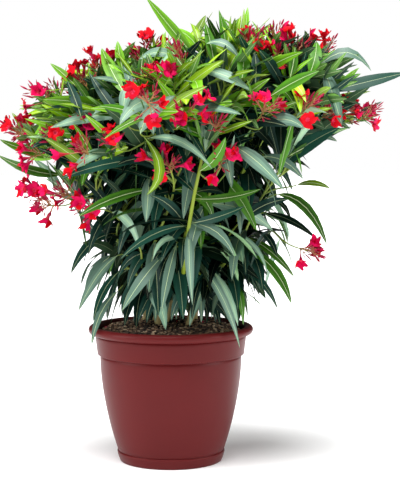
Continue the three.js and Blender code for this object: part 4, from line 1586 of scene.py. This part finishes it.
def petal_surface(radius, tube_depth, closing, seed, p):
    """The upper side of petal p: it widens, cups by how far it is closed, and twists like a fan's blade."""
    u, v = np.meshgrid(PETAL_ROWS, PETAL_COLUMNS, indexing="ij")
    spread = np.sin(np.clip(0.2 + 0.72 * u, 0, 1) * math.pi * 0.62) ** 1.2
    width = radius * (0.12 + 0.44 * spread) * (1 - 0.35 * np.clip(u - 0.8, 0, 1) * 5 * np.abs(v) ** 2)
    cup = np.clip(closing + between(-0.18, 0.3, 30, seed, p), 0, 1)
    out = THROAT_RADIUS + (radius - THROAT_RADIUS) * u * (1 - 0.10 * (v - 0.35) ** 2) * (1 - 0.5 * cup * u)
    side = width * v * (1 - 0.25 * cup) + 0.16 * radius * u
    rise = tube_depth + 3.0 * np.sin(u * 1.9) + cup * radius * u * 0.75
    rise = rise - between(0, 0.5, 55, seed, p) * radius * np.clip(u - 0.6, 0, 1) ** 1.3
    rise = rise + 0.2 * radius * v * u + 1.1 * np.sin(v * 5 + seed + p) * u
    return np.stack([out, side, rise], -1).reshape(-1, 3)


def petal_faces(start):
    """Both sides of a petal and the rim between them, from its first vertex on."""
    rows, columns = len(PETAL_ROWS), len(PETAL_COLUMNS)
    sheet = rows * columns
    faces = []
    for i in range(rows - 1):
        for j in range(columns - 1):
            a = start + i * columns + j
            quad = [a, a + columns, a + columns + 1, a + 1]
            faces += [quad, [corner + sheet for corner in reversed(quad)]]
    edge = [i * columns for i in range(rows)] + [(rows - 1) * columns + j for j in range(1, columns)]
    edge += [i * columns + columns - 1 for i in range(rows - 2, -1, -1)]
    edge += list(range(columns - 2, 0, -1))
    for a, b in zip(edge, edge[1:] + edge[:1]):
        faces.append([start + b, start + a, start + a + sheet, start + b + sheet])
    return faces


def flower_template(radius, tube_depth, seed):
    """One flower along +Z with its foot at the origin: petals, funnel and throat."""
    closing = 0.85 * chance(56, seed) ** 1.1
    sheets = 2 * len(PETAL_ROWS) * len(PETAL_COLUMNS)
    points, petals = [], []
    for p in range(PETALS):
        top = petal_surface(radius, tube_depth, closing, seed, p)
        turn = turn_matrix(UP, 360 / PETALS * p + between(-5, 5, 31, seed, p))
        points.append(np.vstack([top, top - [0, 0, PETAL_THICKNESS]]) @ turn.T)
        petals.append(petal_faces(sheets * p))
    angles = np.linspace(0, 2 * math.pi, FUNNEL_SIDES, endpoint=False)
    rings = [(0.9, 0.0), (1.5, tube_depth * 0.35), (2.9, tube_depth * 0.7), (4.4, tube_depth + 1.0)]
    funnel = np.array([[r * math.cos(a), r * math.sin(a), z] for r, z in rings for a in angles])
    middle = np.array([[0, 0, tube_depth * 0.72]])
    base = sheets * PETALS
    last, end = base + (len(rings) - 1) * FUNNEL_SIDES, base + len(rings) * FUNNEL_SIDES
    throat = [[last + j, last + (j + 1) % FUNNEL_SIDES, end] for j in range(FUNNEL_SIDES)]
    foot = [[base + j for j in range(FUNNEL_SIDES - 1, -1, -1)]]
    faces = [*petals, ring_quads(base, len(rings), FUNNEL_SIDES), throat, foot]
    return np.vstack([*points, funnel, middle]), faces


def bud_template():
    """A slender spiral bud along +Z, one unit long and one unit in radius."""
    points = []
    for i, (r, z) in enumerate(BUD_RINGS):
        for j in range(BUD_SIDES):
            a = 2 * math.pi * j / BUD_SIDES + i * BUD_TWIST
            points.append([r * math.cos(a), r * math.sin(a), z])
    last = (len(BUD_RINGS) - 1) * BUD_SIDES
    ends = [list(range(BUD_SIDES - 1, -1, -1)), [last + j for j in range(BUD_SIDES)]]
    return np.array(points), [ring_quads(0, len(BUD_RINGS), BUD_SIDES), ends]


def basis(direction, turn):
    """The matrix that stands +Z along a direction, turned about it."""
    side = around(direction, turn)
    return np.stack([side, np.cross(direction, side), direction], 1)


def bloom_rule(plan):
    """Flowers, buds and their stalks for every twig that ends in a flower head."""
    flowers, buds, stalks = [], [], []
    for twig in plan["twigs"]:
        if not twig["stalk"]:
            continue
        tip, direction, spray = twig["tip"], twig["direction"], twig["hue"] is not None
        hue = twig["hue"] or HUES[int(len(HUES) * chance(52, *twig["keys"]))]
        for i in range(HEAD_FLOWERS):
            keys = (*twig["keys"], i)
            turn = 360 / HEAD_FLOWERS * i + between(-15, 15, 16, *keys)
            way = tilted(direction, around(direction, turn), between(30, 78, 57, *keys))
            base = tip + direction * (twig["stalk"] - 3 - i * 9 * (0.6 if spray else 1))
            foot = base + way * 12
            stalks.append((base, foot, 1.0))
            if chance(54, *keys) < HEAD_FLOWER_SHARE:
                flowers.append((foot, way, keys, hue))
        for i in range(HEAD_STALKS):
            keys = (*twig["keys"], 10 + i)
            turn = GOLDEN_ANGLE * i + between(-20, 20, 32, *keys)
            way = tilted(direction, around(direction, turn), between(6, 70, 33, *keys))
            base = tip + direction * (twig["stalk"] * (1 - 0.2 * (i % 4)) - 1)
            reach = between(12, 30, 34, *keys)
            end = base + way * reach
            stalks.append((base, end, 0.75))
            if chance(35, *keys) < STALK_FLOWER_SHARE:
                flowers.append((end, way, keys, hue))
                continue
            buds.append((end, way, between(11, 19, 36, *keys), between(1.3, 2.2, 37, *keys)))
            for fork in (-1, 1):
                branch = tilted(way, around(way, 90 * fork + 40 * i), HEAD_FORK)
                middle = base + way * reach * 0.6
                end = middle + branch * HEAD_FORK_LENGTH
                stalks.append((middle, end, 0.6))
                buds.append((end, branch, between(8, 14, 38, *keys, fork + 1), 1.2))
    return flowers, buds, stalks


class OLEANDER_OT_flowers(bpy.types.Operator):
    """Set the flower heads: five-petalled funnels, slender buds and their stalks"""

    bl_idname = "oleander.flowers"
    bl_label = "Grow Flowers"

    def execute(self, context):
        bloom = context.scene.oleander_bloom
        flowers, buds, stalks = bloom_rule(plan_plant(context.scene))
        settle(self.flower_piece(flowers, bloom))
        settle(self.bud_piece(buds, stalks, bloom))
        return {"FINISHED"}

    @staticmethod
    def flower_piece(flowers, bloom):
        """Open flowers: most petals have their head's hue, and some the next or the last one."""
        shape = Shape()
        for foot, way, keys, hue in flowers:
            size = between(0.8, 1.08, 39, *keys)
            seed = int(1000 * chance(51, *keys))
            points, faces = flower_template(bloom.radius / MM * size, bloom.tube / MM, seed)
            lead = HUES.index(hue)
            draws = [chance(53, *keys, p) for p in range(PETALS)]
            strays = [0 if draw < 0.66 else 1 if draw < 0.86 else 2 for draw in draws]
            petals = [(lead + stray) % len(HUES) for stray in strays]
            points = points @ basis(way, between(0, 72, 17, *keys)).T + foot
            shape.add(points, faces, [*petals, 4 if hue == "magenta" else 3, 5, 3])
        materials = [plain_material(f"petal_{hue}", getattr(bloom, hue), 0.6, 0.1) for hue in HUES]
        # The red funnel takes the darker red of painted shade, darker still.
        materials += [
            plain_material("funnel_red", np.array(bloom.shaded_red) * 0.9, 0.55, 0.3),
            plain_material("funnel_pink", np.array(bloom.magenta) * 0.8, 0.55, 0.3),
            plain_material("throat", linear((226, 60, 96)), 0.7, 0.2),
        ]
        return shape.build("open_flowers", materials, 60)

    @staticmethod
    def bud_piece(buds, stalks, bloom):
        """Buds, every third of them pink, and the stalks of all the heads."""
        shape = Shape()
        template, faces = bud_template()
        for number, (foot, way, size, radius) in enumerate(buds):
            points = (template * [radius, radius, size]) @ basis(way, 0).T + foot
            shape.add(points, faces, [1 if number % 3 else 2, 1])
        for start, end, radius in stalks:
            middle = (start + end) / 2 + UP * 0.8
            tube(shape, [start, middle, end], [radius * 1.2, radius, radius * 0.9], 5, 0)
        materials = [
            plain_material("flower_stalk", bloom.stalk_colour, 0.6, 0.3),
            plain_material("bud_red", bloom.bud, 0.5, 0.3),
            plain_material("bud_pink", np.array(bloom.magenta) * 0.55, 0.5, 0.3),
        ]
        return shape.build("buds_and_stalks", materials, 60)


# ---- Stage ----

# Suns: name, strength, softness and the tilt and turn of where they shine from, in degrees.
SUNS = (
    ("key_sun", 5.4, 36, 15, -12),
    ("left_sun", 2.0, 36, 66, -72),
    ("right_sun", 1.5, 36, 72, 76),
)
AIR_LIGHT = 0.09
FLOOR_SIZE = 60
FLOOR_GLOW = 0.13
WHITE = (1, 1, 1, 1)


class OLEANDER_OT_stage(bpy.types.Operator):
    """Set the floor, the soft light and the camera"""

    bl_idname = "oleander.stage"
    bl_label = "Set Stage"

    def execute(self, context):
        stage = context.scene.oleander_stage
        self.floor(stage)
        self.lights(context.scene)
        self.camera(context.scene, stage)
        return {"FINISHED"}

    @staticmethod
    def floor(stage):
        bpy.ops.object.select_all(action="DESELECT")
        bpy.ops.mesh.primitive_plane_add(size=FLOOR_SIZE, location=(0, 0, 0))
        floor = bpy.context.object
        floor.name = "studio_floor"
        material = plain_material("pale_floor", stage.floor_colour, 0.9, 0.1)
        glow = {"Emission Color": WHITE, "Emission Strength": FLOOR_GLOW}
        set_inputs(material.node_tree.nodes["Principled BSDF"], glow)
        floor.data.materials.append(material)

    @staticmethod
    def lights(scene):
        """Soft suns, dim air that lights the plant, and white air that the camera sees."""
        world = bpy.data.worlds.new("studio_air")
        scene.world = world
        world.use_nodes = True
        nodes, links = world.node_tree.nodes, world.node_tree.links
        air, seen = nodes["Background"], nodes.new("ShaderNodeBackground")
        set_inputs(air, {"Color": WHITE, "Strength": AIR_LIGHT})
        set_inputs(seen, {"Color": WHITE, "Strength": 1.0})
        mix, path = nodes.new("ShaderNodeMixShader"), nodes.new("ShaderNodeLightPath")
        links.new(path.outputs["Is Camera Ray"], mix.inputs["Fac"])
        links.new(air.outputs["Background"], mix.inputs[1])
        links.new(seen.outputs["Background"], mix.inputs[2])
        links.new(mix.outputs["Shader"], nodes["World Output"].inputs["Surface"])
        for name, energy, angle, tilt, turn in SUNS:
            light = bpy.data.lights.new(name, "SUN")
            light.energy = energy
            light.angle = math.radians(angle)
            lamp = bpy.data.objects.new(name, light)
            lamp.rotation_euler = (math.radians(tilt), 0, math.radians(turn))
            scene.collection.objects.link(lamp)

    @staticmethod
    def camera(scene, stage):
        data = bpy.data.cameras.new("camera")
        data.lens = stage.lens
        data.sensor_width = 36
        camera = bpy.data.objects.new("camera", data)
        drop = math.atan2(stage.camera_height - stage.aim_height, stage.camera_distance)
        side = scene.oleander_crown.centre_x
        camera.location = (side, -stage.camera_distance, stage.camera_height)
        camera.rotation_euler = (math.radians(90) - drop, 0, 0)
        scene.collection.objects.link(camera)
        scene.camera = camera
        scene.view_settings.view_transform = "Standard"


# ---- Panel and registration ----

STEPS = (
    OLEANDER_OT_pot,
    OLEANDER_OT_soil,
    OLEANDER_OT_canes,
    OLEANDER_OT_shoots,
    OLEANDER_OT_leaves,
    OLEANDER_OT_flowers,
    OLEANDER_OT_stage,
)

SETTINGS = {
    "oleander_pot": OleanderPotSettings,
    "oleander_crown": OleanderCrownSettings,
    "oleander_leaf": OleanderLeafSettings,
    "oleander_bloom": OleanderBloomSettings,
    "oleander_stage": OleanderStageSettings,
}


class OLEANDER_PT_panel(bpy.types.Panel):
    """Settings and steps of the potted oleander"""

    bl_idname = "OLEANDER_PT_panel"
    bl_label = "Potted Oleander"
    bl_space_type = "VIEW_3D"
    bl_region_type = "UI"
    bl_category = "Oleander"

    def draw(self, context):
        for step in STEPS:
            self.layout.operator(step.bl_idname)
        for name in SETTINGS:
            box = self.layout.box()
            settings = getattr(context.scene, name)
            for field in settings.__annotations__:
                box.prop(settings, field)


def register():
    for cls in (*SETTINGS.values(), *STEPS, OLEANDER_PT_panel):
        bpy.utils.register_class(cls)
    for name, cls in SETTINGS.items():
        setattr(bpy.types.Scene, name, bpy.props.PointerProperty(type=cls))


def unregister():
    for name in SETTINGS:
        delattr(bpy.types.Scene, name)
    for cls in (OLEANDER_PT_panel, *reversed(STEPS), *reversed(SETTINGS.values())):
        bpy.utils.unregister_class(cls)


def main():
    register()
    bpy.ops.oleander.pot()
    bpy.ops.oleander.soil()
    bpy.ops.oleander.canes()
    bpy.ops.oleander.shoots()
    bpy.ops.oleander.leaves()
    bpy.ops.oleander.flowers()
    bpy.ops.oleander.stage()


if __name__ == "__main__":
    main()
